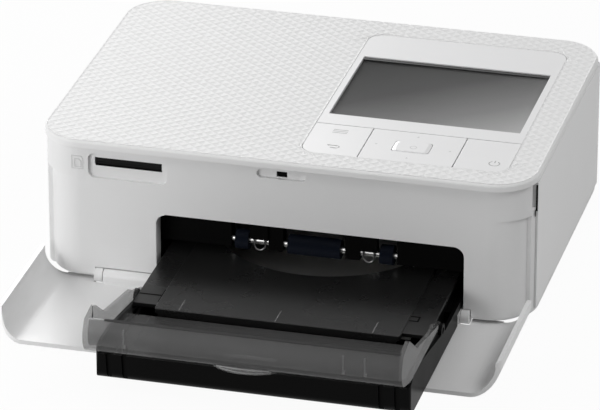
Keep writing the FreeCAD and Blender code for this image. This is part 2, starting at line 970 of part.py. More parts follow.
def control_panel():
    bezel = prism(
        "z",
        corners((panel_left, panel_right), (key_row_rear + size.key_gap, panel_rear)),
        (panel_bottom, top),
        {2: size.panel_radius, 3: size.panel_radius},
    )
    web_inset = size.panel_ledge + size.panel_gap
    web = box(
        (panel_left + web_inset, panel_right - web_inset),
        (panel_front + web_inset, panel_rear - web_inset),
        (lid_bottom, panel_bottom),
    )
    post_inset = 2 * size.panel_ledge + size.post_radius
    post_margin = size.panel_ledge + size.post_radius
    posts = []
    for x in (panel_left + post_inset, panel_right - post_inset):
        for y in (key_row_rear + post_margin, window_rear + post_margin):
            posts.append(rod("z", (x, y), (key_board_top, panel_bottom), size.post_radius))
    window = box(
        (window_left, window_right),
        (window_front, window_rear),
        (key_board_top - size.overrun, top + size.overrun),
    )
    holes = []
    for x, y in key_stems():
        holes.append(rod("z", (x, y), (key_board_top, top), size.key_stem_radius + 2 * size.free_gap))
    name("control_panel", cut(join(bezel, web, *posts), window, *holes))


def key_stems():
    """Where the keys' stems reach down to their switches."""
    left_x = (panel_left + key_split_left) / 2
    right_x = (key_split_right + panel_right) / 2
    middle_y = (panel_front + key_row_rear) / 2
    reach_y = (key_row_rear - panel_front) / 4
    reach_x = (key_split_right - key_split_left) / 3
    stems = [(left_x, middle_y - reach_y), (left_x, middle_y + reach_y), (right_x, middle_y)]
    stems += [(ok_centre, ok_middle)]
    stems += [(ok_centre - reach_x, ok_middle), (ok_centre + reach_x, ok_middle)]
    stems += [
        (ok_centre, ok_middle - reach_y - size.key_stem_radius),
        (ok_centre, ok_middle + reach_y + size.key_stem_radius),
    ]
    return stems


def stem(place_xy, top_z):
    bottom = key_board_top + size.key_dome_height + size.free_gap
    return rod("z", place_xy, (bottom, top_z), size.key_stem_radius)


def keys():
    gap = size.key_gap
    key_z = (top - size.key_thickness, top)
    front_y = panel_front
    rear_y = key_row_rear - gap
    stems = key_stems()
    corner = size.panel_radius
    left = prism(
        "z", corners((panel_left, key_split_left - gap), (front_y, rear_y)), key_z, {0: corner}
    )
    name("menu_back_key", join(left, stem(stems[0], top), stem(stems[1], top)))
    right = prism(
        "z", corners((key_split_right + gap, panel_right), (front_y, rear_y)), key_z, {1: corner}
    )
    name("power_key", join(right, stem(stems[2], top)))
    hole = plate(
        (ok_centre - size.ok_width / 2 - gap, ok_centre + size.ok_width / 2 + gap),
        (ok_middle - size.ok_depth / 2 - gap, ok_middle + size.ok_depth / 2 + gap),
        (lid_bottom, top + size.overrun),
        size.ok_radius,
    )
    pad = box((key_split_left + gap, key_split_right - gap), (front_y, rear_y), key_z)
    name("nav_pad", cut(join(pad, *[stem(place_xy, top) for place_xy in stems[4:]]), hole))
    button = plate(
        (ok_centre - size.ok_width / 2, ok_centre + size.ok_width / 2),
        (ok_middle - size.ok_depth / 2, ok_middle + size.ok_depth / 2),
        (top - size.key_thickness, top + size.ok_proud),
        size.ok_radius,
        {"high": size.ok_proud},
    )
    name("ok_key", join(button, stem(stems[3], top)))
    band = size.pivot_frame_band
    frame_z = (panel_bottom + size.key_gap, panel_bottom + size.key_gap + size.pivot_frame_thickness)
    frame = cut(
        box(
            (ok_centre - size.ok_width / 2 - band, ok_centre + size.ok_width / 2 + band),
            (ok_middle - size.ok_depth / 2 - band, ok_middle + size.ok_depth / 2 + band),
            frame_z,
        ),
        box(
            (ok_centre - size.ok_width / 2 - gap, ok_centre + size.ok_width / 2 + gap),
            (ok_middle - size.ok_depth / 2 - gap, ok_middle + size.ok_depth / 2 + gap),
            (lid_bottom, top),
        ),
    )
    name("nav_pivot_frame", frame)


def display():
    x = (window_left + size.free_gap / 2, window_right - size.free_gap / 2)
    y = (window_front + size.free_gap / 2, window_rear - size.free_gap / 2)
    name("display_window", box(x, y, (display_top, glass_top)))
    name("display_module", box(x, y, (key_board_top, display_top)))
    inset = 2 * size.panel_ledge
    board = box(
        (panel_left + inset, panel_right - inset),
        (panel_front + inset, panel_rear - inset),
        (key_board_top - size.board_thickness, key_board_top),
    )
    name("key_board", board)
    domes = [
        rod("z", place_xy, (key_board_top, key_board_top + size.key_dome_height), 2 * size.key_stem_radius)
        for place_xy in key_stems()
    ]
    name("key_domes", group(*domes))


# Frame round the paper path

def feed_liner():
    inner = size.opening_half_width + size.free_gap / 3
    outer = size.opening_half_width + size.liner_wall
    y = (front_inner + size.recess_back + size.liner_front_gap, liner_rear)
    roof = (size.opening_top + size.free_gap, size.opening_top + size.free_gap + size.liner_roof)
    pieces = [box((middle - outer, middle + outer), y, roof)]
    for side in (-1, 1):
        pieces.append(box(spread(inner, outer, side), y, (floor_top, roof[1])))
    # bearing blocks of the pickup shaft and the holders of the wire loops hang from the roof
    margin = size.pickup_shaft_radius + size.bearing_margin
    block_y = (pickup_y - margin, pickup_y + margin)
    block_z = (size.pickup_z - margin, roof[1])
    outer_start = size.side_roller_outer + size.overrun / 2
    leg = size.loop_radius + size.loop_wire_radius + size.bearing_margin
    holder_y = (loop_y - size.loop_wire_radius - size.bearing_margin, pickup_y)
    holes = []
    for side in (-1, 1):
        pieces.append(box(spread(size.bearing_offset, size.bearing_end, side), block_y, block_z))
        pieces.append(box(spread(outer_start, outer, side), block_y, block_z))
        holder = spread(size.loop_offset - leg, size.loop_offset + leg, side)
        pieces.append(box(holder, holder_y, (loop_holder_bottom, roof[1])))
        x = middle + side * size.loop_offset
        for way in (-1, 1):
            deep = (loop_holder_bottom - size.overrun, loop_holder_bottom + size.loop_holder_overlap)
            at = (x + way * size.loop_radius, loop_y)
            holes.append(rod("z", at, deep, size.loop_wire_radius + size.press_gap))
    shaft_hole = rod(
        "x",
        (pickup_y, size.pickup_z),
        (middle - outer - size.overrun, middle + outer + size.overrun),
        size.pickup_shaft_radius + size.running_gap,
    )
    name("feed_liner", cut(join(*pieces), shaft_hole, *holes))


def chassis():
    bores = [
        ((pickup_y, size.pickup_z), size.pickup_shaft_radius),
        ((capstan_y, capstan_z), size.capstan_shaft_radius),
        ((capstan_y, pinch_z), size.pinch_shaft_radius),
        ((platen_y, platen_z), size.capstan_shaft_radius),
    ]
    clear = size.ribbon_tube_radius + size.free_gap
    for side, label in ((-1, "left_side_plate"), (1, "right_side_plate")):
        thing = box(
            spread(chassis_inner, chassis_outer, side),
            (chassis_front, chassis_rear),
            (floor_top, size.chassis_top),
        )
        reach = spread(chassis_inner - size.overrun, chassis_outer + size.overrun, side)
        holes = [rod("x", centre, reach, radius + size.running_gap) for centre, radius in bores]
        pivot = (head_pivot_y, size.head_pivot_z)
        holes.append(rod("x", pivot, reach, size.head_pivot_radius + size.press_gap))
        if side < 0:
            holes.append(rod("x", (takeup_y, takeup_z), reach, size.stud_radius + size.running_gap))
            stud_x = (gear_left - size.free_gap, middle - chassis_inner)
            stud = rod("x", (idler_y, capstan_z), stud_x, size.stud_radius)
            name(label, join(cut(thing, *holes), stud))
        else:
            ribbon_y = (takeup_y - clear, supply_y + clear)
            holes.append(box(reach, ribbon_y, (takeup_z - clear, size.chassis_top + size.overrun)))
            name(label, cut(thing, *holes))
    inner = (middle - chassis_inner, middle + chassis_inner)
    stays = [
        box(inner, (y - size.stay_width / 2, y + size.stay_width / 2), (z, z + size.stay_thickness))
        for y, z in (
            (size.front_stay_middle, size.front_stay_height),
            (size.rear_stay_middle, size.rear_stay_height),
        )
    ]
    name("chassis_stays", group(*stays))


# Paper feed and its gears

def pickup():
    centre = (pickup_y, size.pickup_z)
    right = middle + chassis_outer + size.gear_face_gap
    name("pickup_shaft", rod("x", centre, (gear_left, right), size.pickup_shaft_radius))
    bore = size.pickup_shaft_radius + size.press_gap
    rollers = [
        tube(
            "x",
            centre,
            (middle - size.pickup_roller_half_width, middle + size.pickup_roller_half_width),
            size.pickup_roller_radius,
            bore,
        )
    ]
    for side in (-1, 1):
        span = spread(size.side_roller_inner, size.side_roller_outer, side)
        rollers.append(tube("x", centre, span, size.pickup_roller_radius, bore))
    name("pickup_rollers", group(*rollers))


def wire_loops():
    """Two bent wire springs beside the middle roller that keep the sheet down."""
    loops = []
    for side in (-1, 1):
        x = middle + side * size.loop_offset
        bottom = size.pickup_z - size.loop_drop
        end = loop_holder_bottom + size.loop_holder_overlap
        arc = doc.addObject("Part::Torus", "Bend")
        arc.setExpression("Radius1", size.loop_radius.text)
        arc.setExpression("Radius2", size.loop_wire_radius.text)
        arc.Angle3 = half_turn
        arc.Placement.Rotation = FreeCAD.Rotation(FreeCAD.Vector(1, 0, 0), -half_turn / 2)
        place(arc, x, loop_y, bottom)
        legs = [
            rod("z", (x + leg * size.loop_radius, loop_y), (bottom, end), size.loop_wire_radius)
            for leg in (-1, 1)
        ]
        loops.append(join(arc, *legs))
    name("sheet_hold_down_wires", group(*loops))


def feed_rollers():
    body = (middle - roller_half_width, middle + roller_half_width)
    right = middle + chassis_outer + size.gear_face_gap
    capstan = rod("x", (capstan_y, capstan_z), body, size.capstan_radius)
    shaft = rod("x", (capstan_y, capstan_z), (gear_left, right), size.capstan_shaft_radius)
    name("capstan_roller", join(capstan, shaft))
    ends = (middle - chassis_outer - size.free_gap, middle + chassis_outer + size.free_gap)
    pinch = rod("x", (capstan_y, pinch_z), body, size.pinch_radius)
    name("pinch_roller", join(pinch, rod("x", (capstan_y, pinch_z), ends, size.pinch_shaft_radius)))
    centre = (platen_y, platen_z)
    platen = tube("x", centre, body, size.platen_radius, size.capstan_shaft_radius + size.press_gap)
    shaft = rod("x", centre, ends, size.capstan_shaft_radius)
    name("platen_roller", group(platen, shaft))


def gear(label, y, z, teeth, phase, bore, shaft=None):
    """A spur gear whose first tooth stands at the phase angle from +Y towards +Z."""
    body = doc.addObject("PartDesign::Body", "Gear")
    root = size.gear_module * (teeth / 2 - gear_root_share)
    tip = size.gear_module * (teeth / 2 + gear_tip_share)
    disc = body.newObject("Sketcher::SketchObject", "Disc")
    disc.AttachmentSupport = [(base_plane(body, "x"), "")]
    disc.MapMode = "FlatFace"
    for radius in (root, bore):
        circle = Part.Circle(FreeCAD.Vector(0, 0, 0), FreeCAD.Vector(0, 0, 1), radius.value)
        edge = disc.addGeometry(circle, False)
        disc.addConstraint(Sketcher.Constraint("Coincident", edge, 3, -1, 1))
        number = disc.addConstraint(Sketcher.Constraint("Radius", edge, radius.value))
        disc.setExpression("Constraints[%d]" % number, radius.text)
    wheel = body.newObject("PartDesign::Pad", "Wheel")
    wheel.Profile = disc
    wheel.setExpression("Length", size.gear_width.text)
    tooth = body.newObject("Sketcher::SketchObject", "Tooth")
    tooth.AttachmentSupport = [(base_plane(body, "x"), "")]
    tooth.MapMode = "FlatFace"
    pitch = size.gear_module * math.pi
    foot = root - size.gear_module / 2
    draw(
        tooth,
        [
            (foot, -pitch * tooth_root_share),
            (tip, -pitch * tooth_tip_share),
            (tip, pitch * tooth_tip_share),
            (foot, pitch * tooth_root_share),
        ],
    )
    cog = body.newObject("PartDesign::Pad", "Cog")
    cog.Profile = tooth
    cog.setExpression("Length", size.gear_width.text)
    pattern = body.newObject("PartDesign::PolarPattern", "Cogs")
    pattern.Originals = [cog]
    pattern.Axis = (tooth, ["N_Axis"])
    pattern.Angle = full_turn
    pattern.Occurrences = teeth
    body.Tip = pattern
    body.Placement.Rotation = FreeCAD.Rotation(FreeCAD.Vector(1, 0, 0), phase)
    place(body, gear_left, y, z)
    return name(label, group(body, shaft) if shaft else body)


def meshing_phase(phase, teeth, direction, next_teeth):
    """The phase of the next gear, so that its gap meets the tooth of this one."""
    turned = ((direction - phase) / (full_turn / teeth)) % 1.0
    return direction + half_turn + (turned + 0.5) * full_turn / next_teeth


def gears():
    capstan_phase = 0.0
    idler_phase = meshing_phase(capstan_phase, capstan_teeth, half_turn, idler_teeth)
    idler_angle = math.degrees(math.atan2(idler_direction_shares[1], idler_direction_shares[0]))
    pickup_angle = half_turn + idler_angle
    pickup_phase = meshing_phase(idler_phase, idler_teeth, pickup_angle, pickup_teeth)
    takeup_angle = math.degrees(math.atan2(takeup_direction_shares[1], takeup_direction_shares[0]))
    takeup_phase = meshing_phase(capstan_phase, capstan_teeth, takeup_angle, takeup_teeth)
    motor_angle = math.degrees(math.atan2(motor_direction_shares[1], motor_direction_shares[0]))
    motor_phase = meshing_phase(capstan_phase, capstan_teeth, motor_angle, motor_teeth)
    fixed = size.press_gap
    bore = size.capstan_shaft_radius + fixed
    gear("capstan_gear", capstan_y, capstan_z, capstan_teeth, capstan_phase, bore)
    bore = size.stud_radius + size.running_gap
    gear("idler_gear", idler_y, capstan_z, idler_teeth, idler_phase, bore)
    bore = size.pickup_shaft_radius + fixed
    gear("pickup_gear", pickup_y, size.pickup_z, pickup_teeth, pickup_phase, bore)
    stub_end = middle - chassis_inner + size.free_gap + size.spool_end * 4
    stub = rod("x", (takeup_y, takeup_z), (gear_left, stub_end), size.stud_radius)
    gear("takeup_gear", takeup_y, takeup_z, takeup_teeth, takeup_phase, size.stud_radius + fixed, stub)
    bracket_left = gear_left - size.motor_bracket_gap - size.motor_bracket_thickness
    shaft_x = (bracket_left - size.overrun + size.free_gap, gear_right)
    shaft = rod("x", (motor_y, motor_z), shaft_x, size.motor_shaft_radius)
    bore = size.motor_shaft_radius + fixed
    gear("motor_pinion", motor_y, motor_z, motor_teeth, motor_phase, bore, shaft)


def motor():
    face = gear_left - size.motor_bracket_gap
    plate_x = (face - size.motor_bracket_thickness, face)
    reach = size.motor_radius + size.motor_bracket_margin
    bracket = cut(
        box(plate_x, (motor_y - reach, motor_y + reach), (floor_top, motor_z + reach)),
        rod(
            "x",
            (motor_y, motor_z),
            (plate_x[0] - size.overrun, face + size.overrun),
            size.motor_shaft_radius + 2 * size.free_gap,
        ),
    )
    foot = box(
        (plate_x[0] - reach, plate_x[0]),
        (motor_y - reach, motor_y + reach),
        (floor_top, floor_top + size.motor_bracket_thickness),
    )
    name("motor_bracket", join(bracket, foot))
    can_end = plate_x[0] - size.motor_length
    can = rod("x", (motor_y, motor_z), (can_end, plate_x[0]), size.motor_radius)
    mouth = rod(
        "x",
        (motor_y, motor_z),
        (plate_x[0] - size.overrun, plate_x[0] + size.overrun),
        size.motor_shaft_radius + size.running_gap,
    )
    name("feed_motor", cut(can, mouth))


# Ribbon cassette

def ribbon_cassette():
    end = chassis_inner - size.free_gap
    radius = size.ribbon_tube_radius
    bore = radius - size.ribbon_tube_wall
    inner_end = end - size.spool_end
    shells = []
    for y in (takeup_y, supply_y):
        shell = tube("x", (y, takeup_z), (middle - inner_end, middle + inner_end), radius, bore)
        mouth = box(
            (middle - inner_end, middle + inner_end),
            (y - radius - size.overrun, y + radius + size.overrun),
            (takeup_z - radius - size.overrun, takeup_z - radius / 3),
        )
        shells.append(cut(shell, mouth))
    plates = []
    for side in (-1, 1):
        span = spread(inner_end, end, side)
        long_span = spread(inner_end - size.overrun, end + size.overrun, side)
        flat = join(
            box(span, (takeup_y, supply_y), (takeup_z - radius, takeup_z + radius)),
            rod("x", (takeup_y, takeup_z), span, radius),
            rod("x", (supply_y, takeup_z), span, radius),
        )
        holes = [
            rod("x", (y, takeup_z), long_span, size.spool_core_radius + size.running_gap)
            for y in (takeup_y, supply_y)
        ]
        plates.append(cut(flat, *holes))
    grip_middle = takeup_y + size.spool_spacing / 2
    grip = box(
        (middle + end, middle + end + size.ribbon_grip_length),
        (grip_middle - size.ribbon_grip_width / 2, grip_middle + size.ribbon_grip_width / 2),
        (takeup_z - size.ribbon_grip_height / 2, takeup_z + size.ribbon_grip_height / 2),
    )
    name("ribbon_case", join(*shells, *plates, grip))
    for label, y, roll in (
        ("takeup", takeup_y, size.takeup_roll_radius),
        ("supply", supply_y, size.supply_roll_radius),
    ):
        core = (middle - end + size.free_gap, middle + end - size.free_gap)
        bore = size.stud_radius + size.press_gap
        name(label + "_spool", tube("x", (y, takeup_z), core, size.spool_core_radius, bore))
        film = (middle - film_half_width, middle + film_half_width)
        bore = size.spool_core_radius + size.press_gap
        name(label + "_film_roll", tube("x", (y, takeup_z), film, roll, bore))
    low = path_z + size.film_lift
    thin = size.film_thickness
    flat_front = platen_y - size.head_width
    flat_rear = platen_y + size.head_width
    start_z = takeup_z - size.takeup_roll_radius - size.running_gap
    end_z = takeup_z - size.supply_roll_radius - size.running_gap
    name(
        "ribbon_film",
        prism(
            "x",
            [
                (takeup_y, start_z - thin),
                (flat_front, low),
                (flat_rear, low),
                (supply_y, end_z - thin),
                (supply_y, end_z),
                (flat_rear, low + thin),
                (flat_front, low + thin),
                (takeup_y, start_z),
            ],
            (middle - film_half_width, middle + film_half_width),
        ),
    )


# Print head

def print_head():
    strip_bottom = path_z + size.head_lift
    strip_top = strip_bottom + size.head_strip_thickness
    x = (middle - head_half_width, middle + head_half_width)
    strip_y = (platen_y - size.head_strip_width / 2, platen_y + size.head_strip_width / 2)
    name("print_head_strip", box(x, strip_y, (strip_bottom, strip_top)))
    sink_y = (platen_y - size.head_width / 2, platen_y + size.head_width / 2)
    sink = box(x, sink_y, (strip_top, size.head_plate_bottom))
    slots = []
    slot_bottom = strip_top + size.head_strip_thickness
    for index in range(head_fins):
        slot_x = middle + head_half_width * (2 * (index + 0.5) / head_fins - 1)
        slots.append(
            box(
                (slot_x - size.head_fin_gap / 2, slot_x + size.head_fin_gap / 2),
                (sink_y[0] - size.overrun, sink_y[0] + size.head_width / 2),
                (slot_bottom, slot_bottom + size.head_fin_depth),
            )
        )
    name("head_heat_sink", cut(sink, *slots))
    plate_z = (size.head_plate_bottom, size.head_plate_bottom + size.head_plate_thickness)
    outer = head_half_width + size.free_gap + size.head_ear_thickness
    arm_y = (sink_y[0], head_pivot_y + size.head_ear_radius)
    arm = [box((middle - outer, middle + outer), arm_y, plate_z)]
    for side in (-1, 1):
        span = spread(outer - size.head_ear_thickness, outer, side)
        y = (head_pivot_y - size.head_ear_radius, head_pivot_y + size.head_ear_radius)
        ear = box(span, y, (size.head_pivot_z, plate_z[1]))
        arm.append(join(ear, rod("x", (head_pivot_y, size.head_pivot_z), span, size.head_ear_radius)))
    hole = rod(
        "x",
        (head_pivot_y, size.head_pivot_z),
        (middle - outer - size.overrun, middle + outer + size.overrun),
        size.head_pivot_radius + size.running_gap,
    )
    name("head_arm", cut(join(*arm), hole))
    span = (middle - chassis_outer - size.free_gap, middle + chassis_outer + size.free_gap)
    pivot = (head_pivot_y, size.head_pivot_z)
    name("head_pivot_shaft", rod("x", pivot, span, size.head_pivot_radius))


# Ribbon cover, its pins and the eject lever

def ribbon_cover():
    hinge_x = half - size.case_wall / 2
    z = (floor_top + size.cover_gap, lid_bottom - size.cover_gap)
    front_y = split_y + size.cover_gap
    hinge_xy = (hinge_x, cover_rear)
    flap = box((side_inner, half), (front_y, cover_rear), z)
    knuckle = rod("z", hinge_xy, z, size.case_wall / 2)
    bore = rod("z", hinge_xy, (floor_bottom, top), size.cover_pin_radius + size.running_gap)
    rib_x = (side_inner - size.case_wall / 2, side_inner)
    rib_y = (front_y + size.case_wall, cover_rear - size.case_wall)
    ribs = [
        box(rib_x, rib_y, (rib_z, rib_z + size.case_wall / 2))
        for rib_z in (z[0] + size.case_wall, z[1] - 2 * size.case_wall)
    ]
    name("ribbon_cover", cut(join(flap, knuckle, *ribs), bore))
    pins = [
        rod("z", hinge_xy, pin_z, size.cover_pin_radius)
        for pin_z in (
            (floor_top, floor_top + size.cover_pin_length),
            (lid_bottom - size.cover_pin_length, lid_bottom),
        )
    ]
    name("ribbon_cover_pins", group(*pins))


def lever_post():
    place_xy = (lever_x, size.lever_y)
    lever_top = size.lever_z + size.lever_thickness
    pin = rod("z", place_xy, (floor_top, lever_top + size.free_gap), size.lever_post_radius)
    post = rod("z", place_xy, (floor_top, size.lever_z - size.free_gap), 2 * size.lever_post_radius)
    return join(pin, post)


def eject_lever():
    x = lever_x
    y = size.lever_y
    z = (size.lever_z, size.lever_z + size.lever_thickness)
    arm = box(
        (x - size.lever_width / 2, x + size.lever_width / 2),
        (y, y + size.lever_length),
        z,
    )
    hub = rod("z", (x, y), z, 2 * size.lever_post_radius)
    hole = rod("z", (x, y), (floor_bottom, top), size.lever_post_radius + size.running_gap)
    name("ribbon_eject_lever", cut(join(arm, hub), hole))


# Door

def door():
    bottom = size.door_floor_gap
    thick = size.door_thickness
    outer_radius = size.door_end_radius
    tall = bottom + 2 * outer_radius
    reach_y = (hinge_y - size.door_reach, hinge_y - size.door_step)
    long_y = (reach_y[0] - size.overrun, reach_y[1] + size.overrun)
    outline = corners((-half, half), (bottom, tall))
    outside = prism("y", outline, reach_y, {0: outer_radius, 1: outer_radius})
    inside = prism(
        "y",
        corners((-half + thick, half - thick), (bottom + thick, tall + size.overrun)),
        long_y,
        {0: outer_radius - thick, 1: outer_radius - thick},
    )
    above = across(long_y, (size.door_lip_height, tall + size.overrun))
    trim = prism(
        "z",
        corners((-half, half), (reach_y[0], reach_y[1] + size.overrun)),
        (-size.overrun, tall + size.overrun),
        {0: outer_radius, 1: outer_radius},
    )
    leaf = common(cut(outside, inside, above), trim)
    hinge_space = door_barrel_half_width + size.door_lug_width + 2 * size.free_gap
    end_y = (reach_y[1] - size.overrun, hinge_y + size.door_end_tail)
    long_end_y = (end_y[0] - size.overrun, end_y[1] + size.overrun)
    end_outside = prism("y", outline, end_y, {0: outer_radius, 1: outer_radius})
    end_inside = prism(
        "y",
        corners((-half + thick, half - thick), (bottom + thick, tall + size.overrun)),
        long_end_y,
        {0: outer_radius - thick, 1: outer_radius - thick},
    )
    end_above = across(long_end_y, (size.door_lip_height, tall + size.overrun))
    between = box((-hinge_space, hinge_space), long_end_y, (-size.overrun, tall))
    leaf = join(leaf, cut(end_outside, end_inside, end_above, between))
    barrel_x = (-door_barrel_half_width, door_barrel_half_width)
    barrel = rod("x", (hinge_y, size.hinge_height), barrel_x, size.door_barrel_radius)
    web = box(
        barrel_x,
        (hinge_y - size.door_barrel_radius, hinge_y),
        (bottom, size.hinge_height),
    )
    tails = [
        box(
            spread(hinge_space, half - outer_radius, side, zero),
            (reach_y[1] - size.overrun, hinge_y + size.door_tail),
            (bottom, bottom + thick),
        )
        for side in (-1, 1)
    ]
    holes = [
        rod(
            "x",
            (hinge_y, size.hinge_height),
            spread(
                door_barrel_half_width - size.door_hinge_pin_length,
                door_barrel_half_width + size.overrun,
                side,
                zero,
            ),
            size.door_hinge_pin_radius + size.running_gap,
        )
        for side in (-1, 1)
    ]
    name("front_door", cut(join(leaf, barrel, web, *tails), *holes))
    pins = []
    outer = door_barrel_half_width + size.free_gap + size.door_lug_width
    for side in (-1, 1):
        span = spread(outer - size.door_hinge_pin_length, outer, side, zero)
        pins.append(rod("x", (hinge_y, size.hinge_height), span, size.door_hinge_pin_radius))
    name("door_hinge_pins", group(*pins))


# Paper cassette and output tray

def cassette_base():
    wide = cassette_half_width
    rail_inner = wide - size.cassette_rail
    low = size.cassette_outer_bottom
    high = size.cassette_inner_bottom
    thick = size.cassette_floor
    step = size.cassette_step
    nose = size.cassette_front
    tail = size.cassette_rear
    side_profile = [
        (tail, high),
        (step, high),
        (step, low),
        (nose + size.cassette_floor, low),
        (nose, size.cassette_front_height),
        (nose + 3 * size.cassette_floor, size.cassette_rail_height),
        (size.lid_panel_front - 2 * size.tray_belly_radius, size.cassette_rail_height),
        (size.cassette_lid_front + 2 * size.tray_belly_radius, high + 2 * thick),
        (tail, high + 2 * thick),
    ]
    pieces = []
    for side in (-1, 1):
        pieces.append(
            prism(
                "x",
                side_profile,
                spread(rail_inner, wide, side),
                {3: size.tray_belly_radius / 2, 5: size.tray_peak_radius},
            )
        )
        rail_x = spread(rail_inner, wide, side)
        boss_y = (size.tray_pivot_y - size.tray_boss_radius, size.tray_pivot_y + size.tray_boss_radius)
        pieces.append(rod("x", (size.tray_pivot_y, size.tray_pivot_z), rail_x, size.tray_boss_radius))
        pieces.append(box(rail_x, boss_y, (high, size.tray_pivot_z)))
        rib_x = spread(guide_rib_half_width, guide_rib_half_width + size.guide_rib_width, side)
        rib_top = high + thick + size.guide_rib_height
        front_rib_y = (nose + 2 * size.tray_belly_radius, step - thick / 2)
        pieces.append(box(rib_x, (step - thick, tail - thick / 2), (high + thick / 2, rib_top)))
        pieces.append(box(rib_x, front_rib_y, (low + thick / 2, rib_top)))
    floor_profile = [
        (tail, high),
        (step, high),
        (step, low),
        (nose + thick, low),
        (nose, size.cassette_front_height),
        (nose + thick, size.cassette_front_height),
        (nose + 2 * thick, low + thick),
        (step - thick, low + thick),
        (step - thick, high + thick),
        (tail, high + thick),
    ]
    pieces.append(
        prism(
            "x",
            floor_profile,
            (middle - wide, middle + wide),
            {3: size.tray_belly_radius / 2},
        )
    )
    pieces.append(box((middle - wide, middle + wide), (tail - thick, tail), (high, high + 2 * thick)))
    cassette = join(*pieces)
    plan = prism(
        "z",
        corners((middle - wide, middle + wide), (nose, tail + size.overrun)),
        (low - size.overrun, size.cassette_rail_height + size.overrun),
        {0: size.cassette_corner_radius, 1: size.cassette_corner_radius},
    )
    cassette = common(cassette, plan)
    deep = size.cassette_groove_depth
    groove_profile = [
        (nose - size.overrun, low - size.overrun),
        (nose + thick + deep, low - size.overrun),
        (nose + thick + deep, low),
        (nose + deep, size.cassette_front_height),
        (nose + deep, size.cassette_front_height + thick),
        (nose - size.overrun, size.cassette_front_height + thick),
    ]
    for side in (-1, 1):
        for number in (1, 2):
            offset = wide - number * 2 * size.tray_belly_radius / 3
            groove_x = spread(offset, offset + 2 * deep, side)
            cassette = cut(cassette, prism("x", groove_profile, groove_x))
        cassette = cut(
            cassette,
            rod(
                "x",
                (size.tray_pivot_y, size.tray_pivot_z),
                spread(rail_inner - size.overrun, wide + size.overrun, side),
                size.tray_pin_radius + size.running_gap,
            ),
        )
    name("cassette_base", cassette)


def cassette_lid():
    top_z = size.cassette_lid_top
    thick = size.cassette_lid_thickness
    wings = box(
        (middle - cassette_lid_half_width, middle + cassette_lid_half_width),
        (size.cassette_lid_front, size.cassette_lid_rear),
        (top_z - thick, top_z),
    )
    raised = prism(
        "z",
        corners(
            (middle - lid_panel_half_width, middle + lid_panel_half_width),
            (size.lid_panel_front, size.roller_window_middle),
        ),
        (top_z - thick, top_z + size.lid_panel_rise),
        {0: size.lid_round, 1: size.lid_round},
        {"high": size.lid_panel_rise / 2},
    )
    band_reach = lid_panel_half_width - size.lid_round
    band = box(
        (middle - band_reach, middle + band_reach),
        (size.lid_panel_front, size.lid_panel_front + thick),
        (top_z + size.lid_panel_rise - size.lid_panel_band, top_z),
    )
    feet = []
    for side in (-1, 1):
        foot_y = (size.cassette_lid_front + size.tray_belly_radius, size.cassette_lid_rear)
        feet.append(
            box(
                spread(guide_rib_half_width, guide_rib_half_width + size.guide_rib_width, side),
                foot_y,
                (size.cassette_inner_bottom + size.cassette_floor + size.guide_rib_height, top_z - thick),
            )
        )
    window = rod(
        "z",
        (middle + size.roller_window_side, size.roller_window_middle),
        (size.cassette_inner_bottom, top_z + size.overrun),
        size.roller_window_radius,
    )
    rear_gap = box(
        (
            middle + size.roller_window_side - size.roller_window_radius,
            middle + size.roller_window_side + size.roller_window_radius,
        ),
        (size.roller_window_middle, size.cassette_lid_rear + size.overrun),
        (size.cassette_inner_bottom, top_z + size.overrun),
    )
    name("cassette_lid", cut(join(wings, raised, band, *feet), window, rear_gap))


def lift_plate():
    rear_y = size.lift_plate_rear
    bottom = size.cassette_inner_bottom + size.cassette_floor + size.free_gap
    pin_z = bottom + size.lift_pin_radius
    x = (middle - lift_plate_half_width, middle + lift_plate_half_width)
    leaf = box(x, (size.lift_plate_front, rear_y), (pin_z, pin_z + size.lift_plate_thickness))
    pin_reach = guide_rib_half_width - size.free_gap
    pin = rod("x", (rear_y, pin_z), (middle - pin_reach, middle + pin_reach), size.lift_pin_radius)
    name("lift_plate", join(leaf, pin))
    springs = []
    low = size.cassette_outer_bottom + size.cassette_floor + size.lift_spring_wire + size.running_gap
    high = pin_z - 2 * size.lift_spring_wire
    for side in (-1, 1):
        x_place = middle + side * lift_plate_half_width / 2
        y_place = size.lift_plate_front + lift_plate_half_width / 4
        springs.append(coil(x_place, y_place, low, high))
    name("lift_springs", group(*springs))


def coil(x, y, low, high):
    helix = doc.addObject("Part::Helix", "Helix")
    helix.setExpression("Radius", size.lift_spring_radius.text)
    helix.setExpression("Pitch", ((high - low) / lift_coils).text)
    helix.setExpression("Height", (high - low).text)
    section = doc.addObject("Part::Circle", "Wire")
    section.setExpression("Radius", size.lift_spring_wire.text)
    section.Placement.Rotation = FreeCAD.Rotation(FreeCAD.Vector(1, 0, 0), half_turn / 2)
    section.setExpression("Placement.Base.x", size.lift_spring_radius.text)
    sweep = doc.addObject("Part::Sweep", "Coil")
    sweep.Sections = [section]
    sweep.Spine = (helix, ["Edge1"])
    sweep.Solid = True
    sweep.Frenet = True
    place(sweep, x, y, low)
    return sweep


